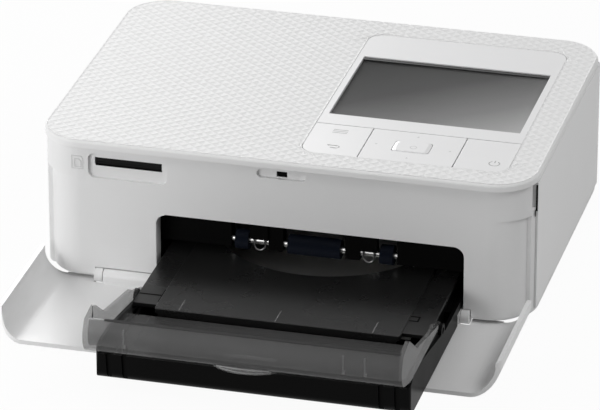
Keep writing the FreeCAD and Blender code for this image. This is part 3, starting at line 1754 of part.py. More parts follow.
def output_tray():
    wide = tray_half_width
    wall = size.tray_wall
    arm_outer = tray_arm_half_width
    arm_inner = arm_outer - size.tray_arm_thickness
    scoop_front = [
        (size.tray_knee, size.tray_knee_height),
        (tray_belly, size.tray_foot_height),
        (tray_belly, size.tray_belly_height),
        (size.tray_rim, size.tray_rim_height),
        (size.tray_rim + wall, size.tray_rim_height),
        (tray_belly + wall, size.tray_belly_height),
        (tray_belly + wall, size.tray_foot_height + wall),
        (size.tray_knee, size.tray_knee_height + wall),
    ]
    scoop = prism(
        "x",
        scoop_front,
        (middle - wide, middle + wide),
        {
            1: size.tray_chin_radius,
            2: size.tray_cheek_radius,
            5: size.tray_cheek_radius - wall,
            6: size.tray_chin_radius - wall,
        },
    )
    floor = prism(
        "x",
        [
            (size.tray_knee, size.tray_knee_height),
            (size.tray_knee, size.tray_knee_height + wall),
            (size.tray_rear, size.tray_floor_rear_height + wall),
            (size.tray_rear, size.tray_floor_rear_height),
        ],
        (middle - arm_outer, middle + arm_outer),
    )
    pieces = [scoop, floor]
    arm_end_y = size.tray_pivot_y + 2 * size.tray_pin_radius
    arm_low = size.tray_pivot_z - 2 * size.tray_pin_radius
    arm_high = size.tray_pivot_z + 2 * size.tray_pin_radius
    for side in (-1, 1):
        ear = prism(
            "x",
            [
                (size.tray_knee, size.tray_knee_height),
                (tray_belly, size.tray_foot_height),
                (tray_belly, size.tray_belly_height),
                (size.tray_rim, size.tray_rim_height),
                (size.tray_peak, size.tray_peak_height),
                (size.tray_valley, size.tray_valley_height),
                (size.tray_pivot_y - size.tray_belly_radius, size.tray_knee_height + wall),
                (size.tray_pivot_y - size.tray_belly_radius, size.tray_knee_height),
            ],
            spread(wide - wall, wide, side),
            {
                1: size.tray_chin_radius,
                2: size.tray_cheek_radius,
                4: size.tray_peak_radius,
                5: size.tray_belly_radius,
            },
        )
        shelf = box(
            spread(arm_inner, wide, side),
            (size.tray_knee, size.tray_pivot_y - size.tray_belly_radius),
            (size.tray_knee_height, size.tray_knee_height + wall),
        )
        arm = prism(
            "x",
            [
                (arm_end_y, arm_low),
                (arm_end_y, arm_high),
                (size.tray_pivot_y - size.tray_belly_radius, size.tray_knee_height + wall),
                (size.tray_rear - size.tray_belly_radius, size.tray_knee_height + wall),
                (size.tray_rear - size.tray_belly_radius, size.tray_floor_rear_height),
                (size.tray_pivot_y - 2 * size.tray_pin_radius, arm_low),
            ],
            spread(arm_inner, arm_outer, side),
            {0: size.tray_pin_radius, 1: size.tray_pin_radius},
        )
        pin = rod(
            "x",
            (size.tray_pivot_y, size.tray_pivot_z),
            spread(arm_inner, cassette_half_width - size.cassette_rail / 3, side),
            size.tray_pin_radius,
        )
        pieces += [ear, shelf, arm, pin]
    reach = size.thumb_tab_radius
    tab_top = size.tray_foot_height - size.thumb_tab_drop
    tab_z = (tab_top - size.thumb_tab_thickness, tab_top)
    tab_front = tray_belly + size.thumb_tab_inset
    disc = rod("z", (middle, tab_front + reach), tab_z, reach)
    kept = box((middle - reach, middle + reach), (tab_front, tab_front + size.thumb_tab_depth), tab_z)
    root = box(
        (middle - reach / 2, middle + reach / 2),
        (tab_front + size.thumb_tab_depth / 2, size.tray_knee - size.free_gap),
        tab_z,
    )
    name("output_tray", join(*pieces, common(disc, kept), root))


# Fan

def fan():
    left = -side_inner
    right = left + size.fan_depth
    y = size.fan_middle_y
    z = size.fan_middle_z
    reach = size.fan_size / 2
    frame = cut(
        box((left, right), (y - reach, y + reach), (z - reach, z + reach)),
        rod("x", (y, z), (left - size.overrun, right + size.overrun), reach - size.fan_bore_gap),
    )
    struts = []
    for index in range(fan_struts):
        strut = doc.addObject("Part::Box", "Strut")
        strut.setExpression("Length", size.fan_strut.text)
        strut.setExpression("Width", (reach - size.fan_bore_gap / 2).text)
        strut.setExpression("Height", size.fan_strut.text)
        strut.Placement.Rotation = FreeCAD.Rotation(FreeCAD.Vector(1, 0, 0), index * full_turn / fan_struts)
        place(strut, right - size.fan_strut, y, z)
        struts.append(strut)
    base = rod("x", (y, z), (right - size.fan_strut, right), size.fan_hub_radius)
    spindle = rod("x", (y, z), (left + size.fan_strut, right), size.stud_radius)
    name("fan_frame", join(frame, base, spindle, *struts))
    rotor_x = (left + size.free_gap, right - size.fan_strut - size.free_gap)
    blades = []
    for index in range(fan_blades):
        blade = doc.addObject("Part::Box", "Blade")
        blade.setExpression("Length", (rotor_x[1] - rotor_x[0] - 2 * size.free_gap).text)
        blade.setExpression("Width", (reach - size.fan_bore_gap - 2 * size.free_gap).text)
        blade.setExpression("Height", size.fan_blade_thickness.text)
        turn = FreeCAD.Rotation(FreeCAD.Vector(1, 0, 0), index * full_turn / fan_blades)
        blade.Placement.Rotation = turn
        place(blade, rotor_x[0] + size.free_gap, y, z)
        blades.append(blade)
    hub = rod("x", (y, z), rotor_x, size.fan_hub_radius)
    bore = rod("x", (y, z), (left - size.overrun, right), size.stud_radius + size.running_gap)
    name("fan_rotor", cut(join(hub, *blades), bore))


# Boards, sockets

def jack_x(margin=zero):
    start = port_board_left + size.free_gap
    return start - margin, start + size.jack_width + margin


def usb_wide_x(margin=zero):
    end = port_board_right - size.free_gap
    return end - size.usb_wide_width - margin, end + margin


def usb_small_y(margin=zero):
    reach = size.usb_small_width / 2 + margin
    return size.usb_small_y - reach, size.usb_small_y + reach


def boards():
    z = (size.chassis_top, main_board_top)
    main = box(
        (main_board_left, main_board_right), (size.main_board_front, size.main_board_rear), z
    )
    for x, y in pillar_places():
        main = cut(main, rod("z", (x, y), (floor_top, top), size.pillar_radius + size.free_gap))
    chips = []
    wide = main_board_right - main_board_left
    deep = size.main_board_rear - size.main_board_front
    for x_share, y_share, side_share in chip_shares:
        centre_x = main_board_left + wide * x_share
        centre_y = size.main_board_rear - deep * y_share
        reach = wide * (side_share / 2)
        chips.append(
            box(
                (centre_x - reach, centre_x + reach),
                (centre_y - reach, centre_y + reach),
                (main_board_top, main_board_top + size.chip_height),
            )
        )
    name("main_board", group(main, *chips))
    socket_x = (
        card_centre - size.card_width / 2 - size.card_socket_wall,
        card_centre + size.card_width / 2 + size.card_socket_wall,
    )
    socket_y = (front_inner + size.recess_back + size.free_gap / 3, front_inner + size.card_socket_depth)
    slot_low = size.card_slot_middle - size.card_slot_height / 2
    slot_high = size.card_slot_middle + size.card_slot_height / 2
    socket = cut(
        box(socket_x, socket_y, (main_board_top, slot_high + size.card_socket_wall / 2)),
        box(
            (socket_x[0] + size.card_socket_wall, socket_x[1] - size.card_socket_wall),
            (socket_y[0] - size.overrun, socket_y[1] - size.card_socket_wall),
            (slot_low + size.free_gap / 3, slot_high),
        ),
    )
    name("card_socket", socket)


def port_board_area():
    x = (port_board_left, port_board_right)
    return x, (port_board_front, rear_inner - 2 * size.free_gap)


def port_posts():
    x_range, y_range = port_board_area()
    return [
        rod("z", (x, y), (floor_top, size.port_board_height), size.post_radius)
        for x in (x_range[0] + size.post_radius, x_range[1] - size.post_radius)
        for y in (y_range[0] + size.post_radius, y_range[1] - size.post_radius)
    ]


def ports():
    board_z = (size.port_board_height, port_board_top)
    board_x, board_y = port_board_area()
    board = box(board_x, board_y, board_z)
    name("port_board", board)
    jack = jack_x()
    jack_y = (rear - size.jack_depth, rear - size.free_gap)
    jack_axis = ((jack[0] + jack[1]) / 2, port_board_top + size.jack_height / 2)
    bore = rod("y", jack_axis, (jack_y[0] + size.case_wall, rear + size.overrun), size.jack_bore_radius)
    pin = rod("y", jack_axis, (jack_y[0], jack_y[1] - size.case_wall), size.jack_pin_radius)
    housing = cut(box(jack, jack_y, (port_board_top, port_board_top + size.jack_height)), bore)
    name("power_jack", join(housing, pin))
    shell = size.usb_shell
    wide_x = usb_wide_x()
    wide_y = (rear - size.usb_wide_depth, rear - size.free_gap)
    wide_z = (port_board_top, port_board_top + size.usb_wide_height)
    wide_shell = cut(
        box(wide_x, wide_y, wide_z),
        box(
            (wide_x[0] + shell, wide_x[1] - shell),
            (wide_y[0] + shell, rear + size.overrun),
            (wide_z[0] + shell, wide_z[1] - shell),
        ),
    )
    tongue = box(
        (wide_x[0] + 4 * shell, wide_x[1] - 4 * shell),
        (wide_y[0], wide_y[1] - 4 * shell),
        (wide_z[1] - 7 * shell, wide_z[1] - 3 * shell),
    )
    host = join(wide_shell, tongue)
    small_y = usb_small_y()
    small_x = (-half + size.free_gap, -half + size.free_gap + size.usb_small_depth)
    small_z = (main_board_top, main_board_top + size.usb_small_height)
    small_radius = size.usb_small_height / 2 - size.press_gap
    small_rounds = {index: small_radius for index in range(4)}
    small_outer = prism("x", corners(small_y, small_z), small_x, small_rounds)
    small_inner = prism(
        "x",
        corners((small_y[0] + shell, small_y[1] - shell), (small_z[0] + shell, small_z[1] - shell)),
        (small_x[0] - size.overrun, small_x[1] - shell),
        {index: small_radius - shell for index in range(4)},
    )
    small_tongue = box(
        (small_x[0] + 3 * shell, small_x[1]),
        (small_y[0] + 4 * shell, small_y[1] - 4 * shell),
        ((small_z[0] + small_z[1]) / 2 - shell, (small_z[0] + small_z[1]) / 2 + shell),
    )
    name("usb_ports", group(host, join(cut(small_outer, small_inner), small_tongue)))


front_panel()
body_shell()
bottom_case()
case_screws()
rubber_feet()
top_cover()
control_panel()
keys()
display()
feed_liner()
chassis()
pickup()
wire_loops()
feed_rollers()
gears()
motor()
ribbon_cassette()
print_head()
ribbon_cover()
eject_lever()
door()
cassette_base()
cassette_lid()
lift_plate()
output_tray()
fan()
boards()
ports()
doc.recompute()

problems = []
for thing in doc.Objects:
    if "Invalid" in thing.State or "Error" in thing.State:
        owners = [owner.Label for owner in thing.InListRecursive if owner in parts]
        problems.append("%s in %s did not build" % (thing.Label, owners or thing.Label))
for thing in parts:
    if thing.Shape.isNull() or not thing.Shape.isValid() or not thing.Shape.Solids:
        problems.append("%s has no sound shape" % thing.Label)
if problems:
    raise RuntimeError("; ".join(problems))

os.makedirs("parts", exist_ok=True)
for thing in parts:
    thing.Shape.exportStep(os.path.join("parts", thing.Label + ".step"))
print(len(parts), "nodes written")
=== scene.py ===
import json
import math

import bmesh
import bpy
from mathutils import Euler, Matrix, Vector


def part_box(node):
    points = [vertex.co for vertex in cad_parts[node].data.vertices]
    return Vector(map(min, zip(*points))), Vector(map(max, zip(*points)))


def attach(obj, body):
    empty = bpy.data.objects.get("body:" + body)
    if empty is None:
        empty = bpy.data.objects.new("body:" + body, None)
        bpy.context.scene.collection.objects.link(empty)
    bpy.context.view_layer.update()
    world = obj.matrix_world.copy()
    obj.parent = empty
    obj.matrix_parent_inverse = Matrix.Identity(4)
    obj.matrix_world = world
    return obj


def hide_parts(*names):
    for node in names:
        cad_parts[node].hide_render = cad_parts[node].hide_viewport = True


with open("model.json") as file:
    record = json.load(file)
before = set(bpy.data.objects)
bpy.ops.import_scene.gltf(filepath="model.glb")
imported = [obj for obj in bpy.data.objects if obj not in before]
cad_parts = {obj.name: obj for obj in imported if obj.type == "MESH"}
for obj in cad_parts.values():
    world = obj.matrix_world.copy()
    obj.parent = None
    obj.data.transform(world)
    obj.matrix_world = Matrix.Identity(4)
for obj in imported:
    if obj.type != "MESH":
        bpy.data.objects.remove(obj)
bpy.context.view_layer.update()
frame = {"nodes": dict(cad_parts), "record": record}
mm = 0.001


# Shader maths


class Wire:  # a socket whose Math nodes are added as it is used in an expression

    def __init__(self, paint, socket):
        self.paint = paint
        self.socket = socket

    def maths(self, operation, *values):
        return self.paint.node("ShaderNodeMath", {"operation": operation}, dict(enumerate(values)))

    def __add__(self, other):
        return self.maths("ADD", self, other)

    def __radd__(self, other):
        return self.maths("ADD", other, self)

    def __sub__(self, other):
        return self.maths("SUBTRACT", self, other)

    def __rsub__(self, other):
        return self.maths("SUBTRACT", other, self)

    def __mul__(self, other):
        return self.maths("MULTIPLY", self, other)

    def __rmul__(self, other):
        return self.maths("MULTIPLY", other, self)


class Paint:  # one material, or the world, and its nodes

    def __init__(self, name, world=None):
        self.material = world or bpy.data.materials.new(name)
        self.material.use_nodes = True
        self.tree = self.material.node_tree
        self.tree.nodes.clear()
        if not world:
            self.place = self.node("ShaderNodeTexCoord", {}, {}, "Object")

    def node(self, kind, settings, inputs, output=0):
        made = self.tree.nodes.new(kind)
        for key, value in settings.items():
            if key == "stops":
                fillRamp(made.color_ramp, value)
            else:
                setattr(made, key, value)
        for key, value in inputs.items():
            if isinstance(value, Wire):
                self.tree.links.new(value.socket, made.inputs[key])
            else:
                made.inputs[key].default_value = value
        return Wire(self, made.outputs[output])

    def noise(self, scale, detail=2.0):
        inputs = {"Vector": self.place, "Scale": scale, "Detail": detail}
        return self.node("ShaderNodeTexNoise", {}, inputs, "Fac")

    def mix(self, factor, first, second):
        return self.node(
            "ShaderNodeMix", {"data_type": "RGBA"}, {0: factor, 6: first, 7: second}, 2
        )

    def bump(self, height, distance, strength=1.0):
        return self.node(
            "ShaderNodeBump", {}, {"Height": height, "Distance": distance, "Strength": strength}
        )

    def finish(self, **sockets):
        inputs = {key.replace("_", " "): value for key, value in sockets.items()}
        self.output(self.node("ShaderNodeBsdfPrincipled", {}, inputs))
        return self.material

    def output(self, shader, kind="ShaderNodeOutputMaterial"):
        end = self.tree.nodes.new(kind)
        self.tree.links.new(shader.socket, end.inputs["Surface"])


def fillRamp(ramp, stops):
    while len(ramp.elements) > 1:
        ramp.elements.remove(ramp.elements[-1])
    ramp.elements[0].position = stops[0][0]
    ramp.elements[0].color = stops[0][1]
    for position, color in stops[1:]:
        ramp.elements.new(position).color = color


def grey(level, blue=0.0):
    return (level, level, level + blue, 1.0)


# Finishes: each kind has a dictionary of its texture's scales, spreads and depths, in metres

moulded = {
    "cloudScale": 35.0, "cloudDetail": 3.0, "cloudSpread": 0.05,
    "grainScale": 2600.0, "grainDetail": 2.0, "grainSpread": 0.12, "grainDepth": 0.00004,
    "grainStrength": 20,
}


def mouldedPlastic(name, level, roughness, grain=0.012, blue=0.0, spread=0.02, gloss=0.5):
    # a moulded shell: faint cloudiness in the colour and a fine spark-eroded grain
    paint = Paint(name)
    cloud = paint.noise(moulded["cloudScale"], moulded["cloudDetail"])
    color = paint.mix(cloud, grey(level * (1 - spread), blue), grey(level * (1 + spread), blue))
    fine = paint.noise(moulded["grainScale"], moulded["grainDetail"])
    pores = (fine - 0.5) * moulded["grainSpread"]
    rough = pores + roughness + (cloud - 0.5) * moulded["cloudSpread"]
    return paint.finish(
        Base_Color=color, Roughness=rough, Specular_IOR_Level=gloss,
        Normal=paint.bump(fine, moulded["grainDepth"], grain * moulded["grainStrength"]),
    )


polished = {
    "smearScale": 60.0, "smearDetail": 4.0, "smearSpread": 0.1, "colorSpread": 0.06,
    "fineScale": 900.0, "fineDetail": 2.0, "fineDepth": 0.00002, "fineStrength": 0.15,
}


def glossPlastic(name, level, roughness, blue=0.0, gloss=0.5):
    # a polished mould face with faint smears in its gloss
    paint = Paint(name)
    smear = paint.noise(polished["smearScale"], polished["smearDetail"])
    fine = paint.noise(polished["fineScale"], polished["fineDetail"])
    rough = smear * polished["smearSpread"] + (roughness - polished["smearSpread"] / 2)
    low, high = 1 - polished["colorSpread"], 1 + polished["colorSpread"]
    color = paint.mix(smear, grey(level * low, blue), grey(level * high, blue))
    return paint.finish(
        Base_Color=color, Roughness=rough, Specular_IOR_Level=gloss,
        Normal=paint.bump(fine, polished["fineDepth"], polished["fineStrength"]),
    )


smoke = {
    "cloudScale": 28.0, "cloudDetail": 3.0, "colorSpread": 0.07, "alphaSpread": 0.06,
    "roughSpread": 0.08,
}


def smokePlastic(name, level, alpha, roughness, gloss=0.5):
    # see-through smoke-tinted plastic, a little cloudy
    paint = Paint(name)
    cloud = paint.noise(smoke["cloudScale"], smoke["cloudDetail"])
    low, high = 1 - smoke["colorSpread"], 1 + smoke["colorSpread"]
    color = paint.mix(cloud, grey(level * low), grey(level * high))
    see = (cloud - 0.5) * smoke["alphaSpread"] + alpha
    rough = (cloud - 0.5) * smoke["roughSpread"] + roughness
    return paint.finish(
        Base_Color=color, Roughness=rough, Alpha=see, Specular_IOR_Level=gloss
    )


rubber = {
    "dustScale": 420.0, "dustDetail": 4.0, "dustLight": 1.5, "dustSpread": 0.2, "roughness": 0.5,
    "fineScale": 3000.0, "fineDetail": 2.0, "fineDepth": 0.00005, "fineStrength": 0.3,
}


def rubberFinish(name, color, gloss=0.4):
    # matt rubber with a little dust in its pores
    paint = Paint(name)
    dust = paint.noise(rubber["dustScale"], rubber["dustDetail"])
    light = tuple(min(1.0, c * rubber["dustLight"]) for c in color[:3]) + (1.0,)
    fine = paint.noise(rubber["fineScale"], rubber["fineDetail"])
    return paint.finish(
        Base_Color=paint.mix(dust, color, light),
        Roughness=dust * rubber["dustSpread"] + rubber["roughness"],
        Specular_IOR_Level=gloss,
        Normal=paint.bump(fine, rubber["fineDepth"], rubber["fineStrength"]),
    )


metal = {
    "lineScale": 900.0, "lineDetail": 3.0, "darkShare": 0.85, "lineSpread": 0.16,
    "lineDepth": 0.00002, "lineStrength": 0.2,
}


def metalFinish(name, color, roughness, stretch=(1.0, 1.0, 1.0)):
    # ground or drawn metal; stretch sets the direction of its fine lines
    paint = Paint(name)
    lines = paint.node("ShaderNodeMapping", {}, {"Vector": paint.place, "Scale": stretch})
    streak = paint.node(
        "ShaderNodeTexNoise", {},
        {"Vector": lines, "Scale": metal["lineScale"], "Detail": metal["lineDetail"]}, "Fac",
    )
    dark = tuple(c * metal["darkShare"] for c in color[:3]) + (1.0,)
    return paint.finish(
        Base_Color=paint.mix(streak, dark, color),
        Metallic=1.0,
        Roughness=streak * metal["lineSpread"] + (roughness - metal["lineSpread"] / 2),
        Normal=paint.bump(streak, metal["lineDepth"], metal["lineStrength"]),
    )


board = {
    "mask": ((0.01, 0.09, 0.035, 1.0), (0.015, 0.12, 0.05, 1.0)),
    "track": (0.03, 0.2, 0.09, 1.0),
    "trackScale": 260.0,
    "trackWidth": 0.03,
    "glossScale": 300.0,
    "glossSpread": 0.15,
    "roughness": 0.25,
}


def boardFinish(name):
    # green solder mask with paler tracks under it
    paint = Paint(name)
    cells = paint.node(
        "ShaderNodeTexBrick",
        {"offset": 0.5},
        {
            "Vector": paint.place,
            "Color1": board["mask"][0],
            "Color2": board["mask"][1],
            "Mortar": board["track"],
            "Scale": board["trackScale"],
            "Mortar Size": board["trackWidth"],
        },
        "Color",
    )
    gloss = paint.noise(board["glossScale"])
    return paint.finish(
        Base_Color=cells, Roughness=gloss * board["glossSpread"] + board["roughness"]
    )


display = {
    # stops of the painted reflection: share across the picture area, grey level
    "painted_reflection": ((0.0, 0.03), (0.4, 0.1), (0.72, 0.3), (1.0, 0.6)),
    "cloudScale": 50.0,
    "cloudSpread": 0.04,
    "roughness": 0.5,
    "gloss": 0.05,
}


def displayFinish(name):
    # the dark picture area, with a painted reflection in its colour that makes it paler towards its
    # near right corner
    low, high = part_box("display_module")
    paint = Paint(name)
    cornered = paint.node(
        "ShaderNodeMapping",
        {"vector_type": "POINT"},
        {"Vector": paint.place, "Location": (-low.x, -low.y, 0.0)},
    )
    across = paint.node("ShaderNodeSeparateXYZ", {}, {0: cornered}, "X")
    along = paint.node("ShaderNodeSeparateXYZ", {}, {0: cornered}, "Y")
    share = across * (0.5 / (high.x - low.x)) + (1.0 - along * (1.0 / (high.y - low.y))) * 0.5
    painted_reflection = paint.node(
        "ShaderNodeValToRGB",
        {"stops": [(place, grey(level)) for place, level in display["painted_reflection"]]},
        {"Fac": share},
        "Color",
    )
    cloud = paint.noise(display["cloudScale"])
    return paint.finish(
        Base_Color=painted_reflection,
        Roughness=cloud * display["cloudSpread"] + display["roughness"],
        Specular_IOR_Level=display["gloss"],
    )


finishes = {
    "case_white": mouldedPlastic("case_white", 0.79, 0.46),
    "cover_lattice": mouldedPlastic("cover_lattice", 0.83, 0.5, gloss=0.28),
    "panel_white": mouldedPlastic("panel_white", 0.83, 0.36, grain=0.006, blue=0.004),
    "key_white": mouldedPlastic("key_white", 0.84, 0.34, grain=0.006, blue=0.004),
    "door_white": mouldedPlastic("door_white", 0.8, 0.4, grain=0.008),
    "window_clear": smokePlastic("window_clear", 0.02, 0.08, 0.12, gloss=0.12),
    "display_dark": displayFinish("display_dark"),
    "cassette_black": glossPlastic("cassette_black", 0.003, 0.34, gloss=0.035),
    "lid_smoke": glossPlastic("lid_smoke", 0.008, 0.28, gloss=0.36),
    "tray_smoke": smokePlastic("tray_smoke", 0.13, 0.37, 0.16, gloss=0.25),
    "liner_black": mouldedPlastic("liner_black", 0.002, 0.6, gloss=0.04),
    "roller_rubber": rubberFinish("roller_rubber", (0.003, 0.0045, 0.009, 1.0), gloss=0.08),
    "foot_rubber": rubberFinish("foot_rubber", (0.03, 0.03, 0.03, 1.0)),
    "bright_steel": metalFinish("bright_steel", (0.72, 0.72, 0.71, 1.0), 0.26, (0.1, 1.0, 1.0)),
    "plate_steel": metalFinish("plate_steel", (0.5, 0.5, 0.49, 1.0), 0.42),
    "sink_aluminium": metalFinish("sink_aluminium", (0.7, 0.7, 0.71, 1.0), 0.38, (0.1, 1.0, 1.0)),
    "gear_white": mouldedPlastic("gear_white", 0.62, 0.45),
    "motor_can": metalFinish("motor_can", (0.42, 0.42, 0.43, 1.0), 0.4),
    "board_green": boardFinish("board_green"),
    "port_metal": metalFinish("port_metal", (0.6, 0.6, 0.59, 1.0), 0.35),
    "port_black": mouldedPlastic("port_black", 0.006, 0.5, gloss=0.1),
    "ribbon_grey": mouldedPlastic("ribbon_grey", 0.2, 0.5),
    "film_yellow": smokePlastic("film_yellow", 0.3, 0.9, 0.2),
    "dome_clear": smokePlastic("dome_clear", 0.5, 0.6, 0.3),
    "fan_black": mouldedPlastic("fan_black", 0.02, 0.45),
    "strip_ceramic": glossPlastic("strip_ceramic", 0.6, 0.25),
    # near-black gloss for a painted shadow along the display window's rear edge
    "display_shadow_paint": glossPlastic("display_shadow_paint", 0.02, 0.3, gloss=0.2),
    # a paler copy of tray_smoke: painted glint on edges and ribs, painted highlight on the right
    # ear's side
    "tray_painted_glint": smokePlastic("tray_painted_glint", 0.3, 0.6, 0.25),
    "mark_white": mouldedPlastic("mark_white", 0.68, 0.46),
    # a paler copy of key_white: painted highlight for the OK key's sloped ends
    "key_painted_highlight": mouldedPlastic("key_painted_highlight", 0.93, 0.3, grain=0.0),
    # a darker copy of steel: painted shade for the wires inside the printer
    "shaded_wire_steel": metalFinish("shaded_wire_steel", (0.22, 0.22, 0.22, 1.0), 0.3),
    "tray_seam": smokePlastic("tray_seam", 0.03, 0.85, 0.3),
    # near-black plastic for a painted shade line along the top of the tray's front wall
    "tray_shade_line": mouldedPlastic("tray_shade_line", 0.03, 0.6, gloss=0.04),
    "icon_grey": mouldedPlastic("icon_grey", 0.42, 0.5),
    "icon_pale": mouldedPlastic("icon_pale", 0.62, 0.5),
}
plainer = {"sheet_hold_down_wires": "shaded_wire_steel"}  # a node whose finish differs from its slot's: darker steel, painted shade for the wires inside the printer


def paintNodes():
    slots = {entry["node"]: entry["material_slot"] for entry in frame["record"]["subparts"]}
    for node, thing in frame["nodes"].items():
        thing.data.materials.clear()
        thing.data.materials.append(finishes[plainer.get(node, slots[node])])
    return slots


slots = paintNodes()
print("finishes:", len(finishes))


# Modelling helpers


def toPiece(name, mesh, finish, body, replaces=None, smooth=35.0):
    # turns a bmesh into a finished piece that rides on its body
    data = bpy.data.meshes.new(name)
    bmesh.ops.remove_doubles(mesh, verts=mesh.verts, dist=1e-6)
    mesh.to_mesh(data)
    mesh.free()
    piece = bpy.data.objects.new(name, data)
    bpy.context.scene.collection.objects.link(piece)
    data.materials.append(finish)
    shadeByAngle(data, smooth)
    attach(piece, body)
    if replaces:
        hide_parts(replaces)
    return piece


def shadeByAngle(data, degrees):
    data.polygons.foreach_set("use_smooth", [True] * len(data.polygons))
    data.set_sharp_from_angle(angle=math.radians(degrees))


def movedVerts(grown):
    return [part for part in grown if isinstance(part, bmesh.types.BMVert)]


softening = {
    "mergeDistance": 2e-6,
    "flatAngle": 0.6,
    "segments": 2,
    "normalWeight": 90,
    "smoothAngle": 40.0,
}


def softened(node, body, width, angle):
    # a copy of a CAD node with its loose triangles merged and its edges given a small round
    source = frame["nodes"][node]
    mesh = bmesh.new()
    mesh.from_mesh(source.data)
    bmesh.ops.remove_doubles(mesh, verts=mesh.verts, dist=softening["mergeDistance"])
    bmesh.ops.dissolve_limit(
        mesh, angle_limit=math.radians(softening["flatAngle"]), verts=mesh.verts,
        edges=mesh.edges, delimit={"NORMAL"},
    )
    data = bpy.data.meshes.new(node + "_shell")
    mesh.to_mesh(data)
    mesh.free()
    piece = bpy.data.objects.new(data.name, data)
    bpy.context.scene.collection.objects.link(piece)
    data.materials.append(finishes[slots[node]])
    edges = piece.modifiers.new("edges", "BEVEL")
    edges.width = width
    edges.segments = softening["segments"]
    edges.limit_method = "ANGLE"
    edges.angle_limit = math.radians(angle)
    flat = piece.modifiers.new("flat", "WEIGHTED_NORMAL")
    flat.weight = softening["normalWeight"]
    flat.keep_sharp = True
    shadeByAngle(data, softening["smoothAngle"])
    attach(piece, body)
    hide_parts(node)


# Softened copies of the moulded pieces: body, edge round, bevel angle
softPieces = {
    "top_cover": ("printer", 0.25, 30.0),
    "front_panel": ("printer", 0.22, 32.0),
    "body_shell": ("printer", 0.3, 32.0),
    "bottom_case": ("printer", 0.3, 32.0),
    "control_panel": ("printer", 0.18, 32.0),
    "menu_back_key": ("menu_key", 0.12, 32.0),
    "power_key": ("power_button", 0.12, 32.0),
    "nav_pad": ("nav", 0.12, 32.0),
    "front_door": ("door", 0.2, 32.0),
    "ribbon_cover": ("cover", 0.25, 32.0),
    "cassette_base": ("cassette", 0.15, 32.0),
    "cassette_lid": ("cassette", 0.2, 32.0),
    "output_tray": ("tray", 0.06, 32.0),
}
for node, (body, width, angle) in softPieces.items():
    softened(node, body, width * mm, angle)
print("softened pieces:", len(softPieces))


# Lid: a relief of shallow dimples round the control panel and its keys
lid = {
    "cells": 90,
    "acrossDimple": 5.155 * mm,
    "alongDimple": 4.31 * mm,
    "shift": (0.58 * mm, 0.8 * mm),
    "edgeInset": 0.7 * mm,
    "panelGap": 0.2 * mm,
    "cornerRadius": 16.0 * mm,
    "cornerSteps": 8,
    "panelRadius": 6.0 * mm,
    "panelSteps": 4,
    "trimReach": 3.0 * mm,  # how far from the panel's rim its planes cut the cells
    "ridge": 0.17 * mm,
    "floor": 0.01 * mm,
    "skirt": 0.1 * mm,
    "rings": ((0.72, 0.45), (0.45, 0.78), (0.18, 0.97)),  # share of the cell, share of the depth
    "crumbShare": 0.03,  # cells smaller than this share of a whole one are left out
    "smooth": 4.0,
}


def trim(mesh, point, normal, near=None):
    # cuts along a plane whose normal points to the side that goes; near picks the cells to cut
    faces = [f for f in mesh.faces if near is None or near(f.calc_center_median())]
    parts = list({v for f in faces for v in f.verts}) + list({e for f in faces for e in f.edges})
    bmesh.ops.bisect_plane(
        mesh, geom=faces + parts, dist=1e-7, plane_co=point, plane_no=normal,
        clear_outer=near is None,
    )


def rimPlanes(low, high, radius, steps):
    # the straight sides and the corner tangents of a rounded rectangle
    planes = [
        (Vector((high.x, 0, 0)), Vector((1, 0, 0))), (Vector((low.x, 0, 0)), Vector((-1, 0, 0))),
        (Vector((0, high.y, 0)), Vector((0, 1, 0))), (Vector((0, low.y, 0)), Vector((0, -1, 0))),
    ]
    for sideX, cornerX in ((1, high.x - radius), (-1, low.x + radius)):
        for sideY, cornerY in ((1, high.y - radius), (-1, low.y + radius)):
            for step in range(1, steps):
                turn = math.pi / 2 * step / steps
                away = Vector((math.cos(turn) * sideX, math.sin(turn) * sideY, 0))
                planes.append((Vector((cornerX, cornerY, 0)) + away * radius, away))
    return planes


def besideRim(low, high, normal):
    # tells whether a point lies by the side or the corner that a rim plane trims
    radius = lid["panelRadius"] + lid["panelGap"]
    reach = lid["trimReach"]
    middle = (low + high) / 2
    upright = 0.99

    def beside(point):
        fits = []
        for axis in (0, 1):
            away = abs(point[axis] - middle[axis]) - (high[axis] - low[axis]) / 2
            sameSide = normal[axis] * (point[axis] - middle[axis]) > 0
            fits.append((away, sameSide))
        (awayX, sideX), (awayY, sideY) = fits
        if abs(normal.x) > upright:
            return sideX and abs(awayX) < reach and awayY < -radius + reach
        if abs(normal.y) > upright:
            return sideY and abs(awayY) < reach and awayX < -radius + reach
        atCorner = all(-radius - reach < away < reach for away in (awayX, awayY))
        return sideX and sideY and atCorner

    return beside


def lidCells(top, low, high):
    # flat diamonds over the whole lid
    mesh = bmesh.new()
    count = lid["cells"]
    bmesh.ops.create_grid(mesh, x_segments=count, y_segments=count, size=count / 2)
    middle = Vector((lid["shift"][0], (low.y + high.y) / 2 + lid["shift"][1], top))
    spread = Matrix.Diagonal(
        (lid["acrossDimple"] / math.sqrt(2), lid["alongDimple"] / math.sqrt(2), 1, 1)
    )
    place = Matrix.Translation(middle + Vector((0, 0, lid["ridge"])))
    bmesh.ops.transform(
        mesh, matrix=place @ spread @ Matrix.Rotation(math.pi / 4, 4, "Z"), verts=mesh.verts
    )
    return mesh


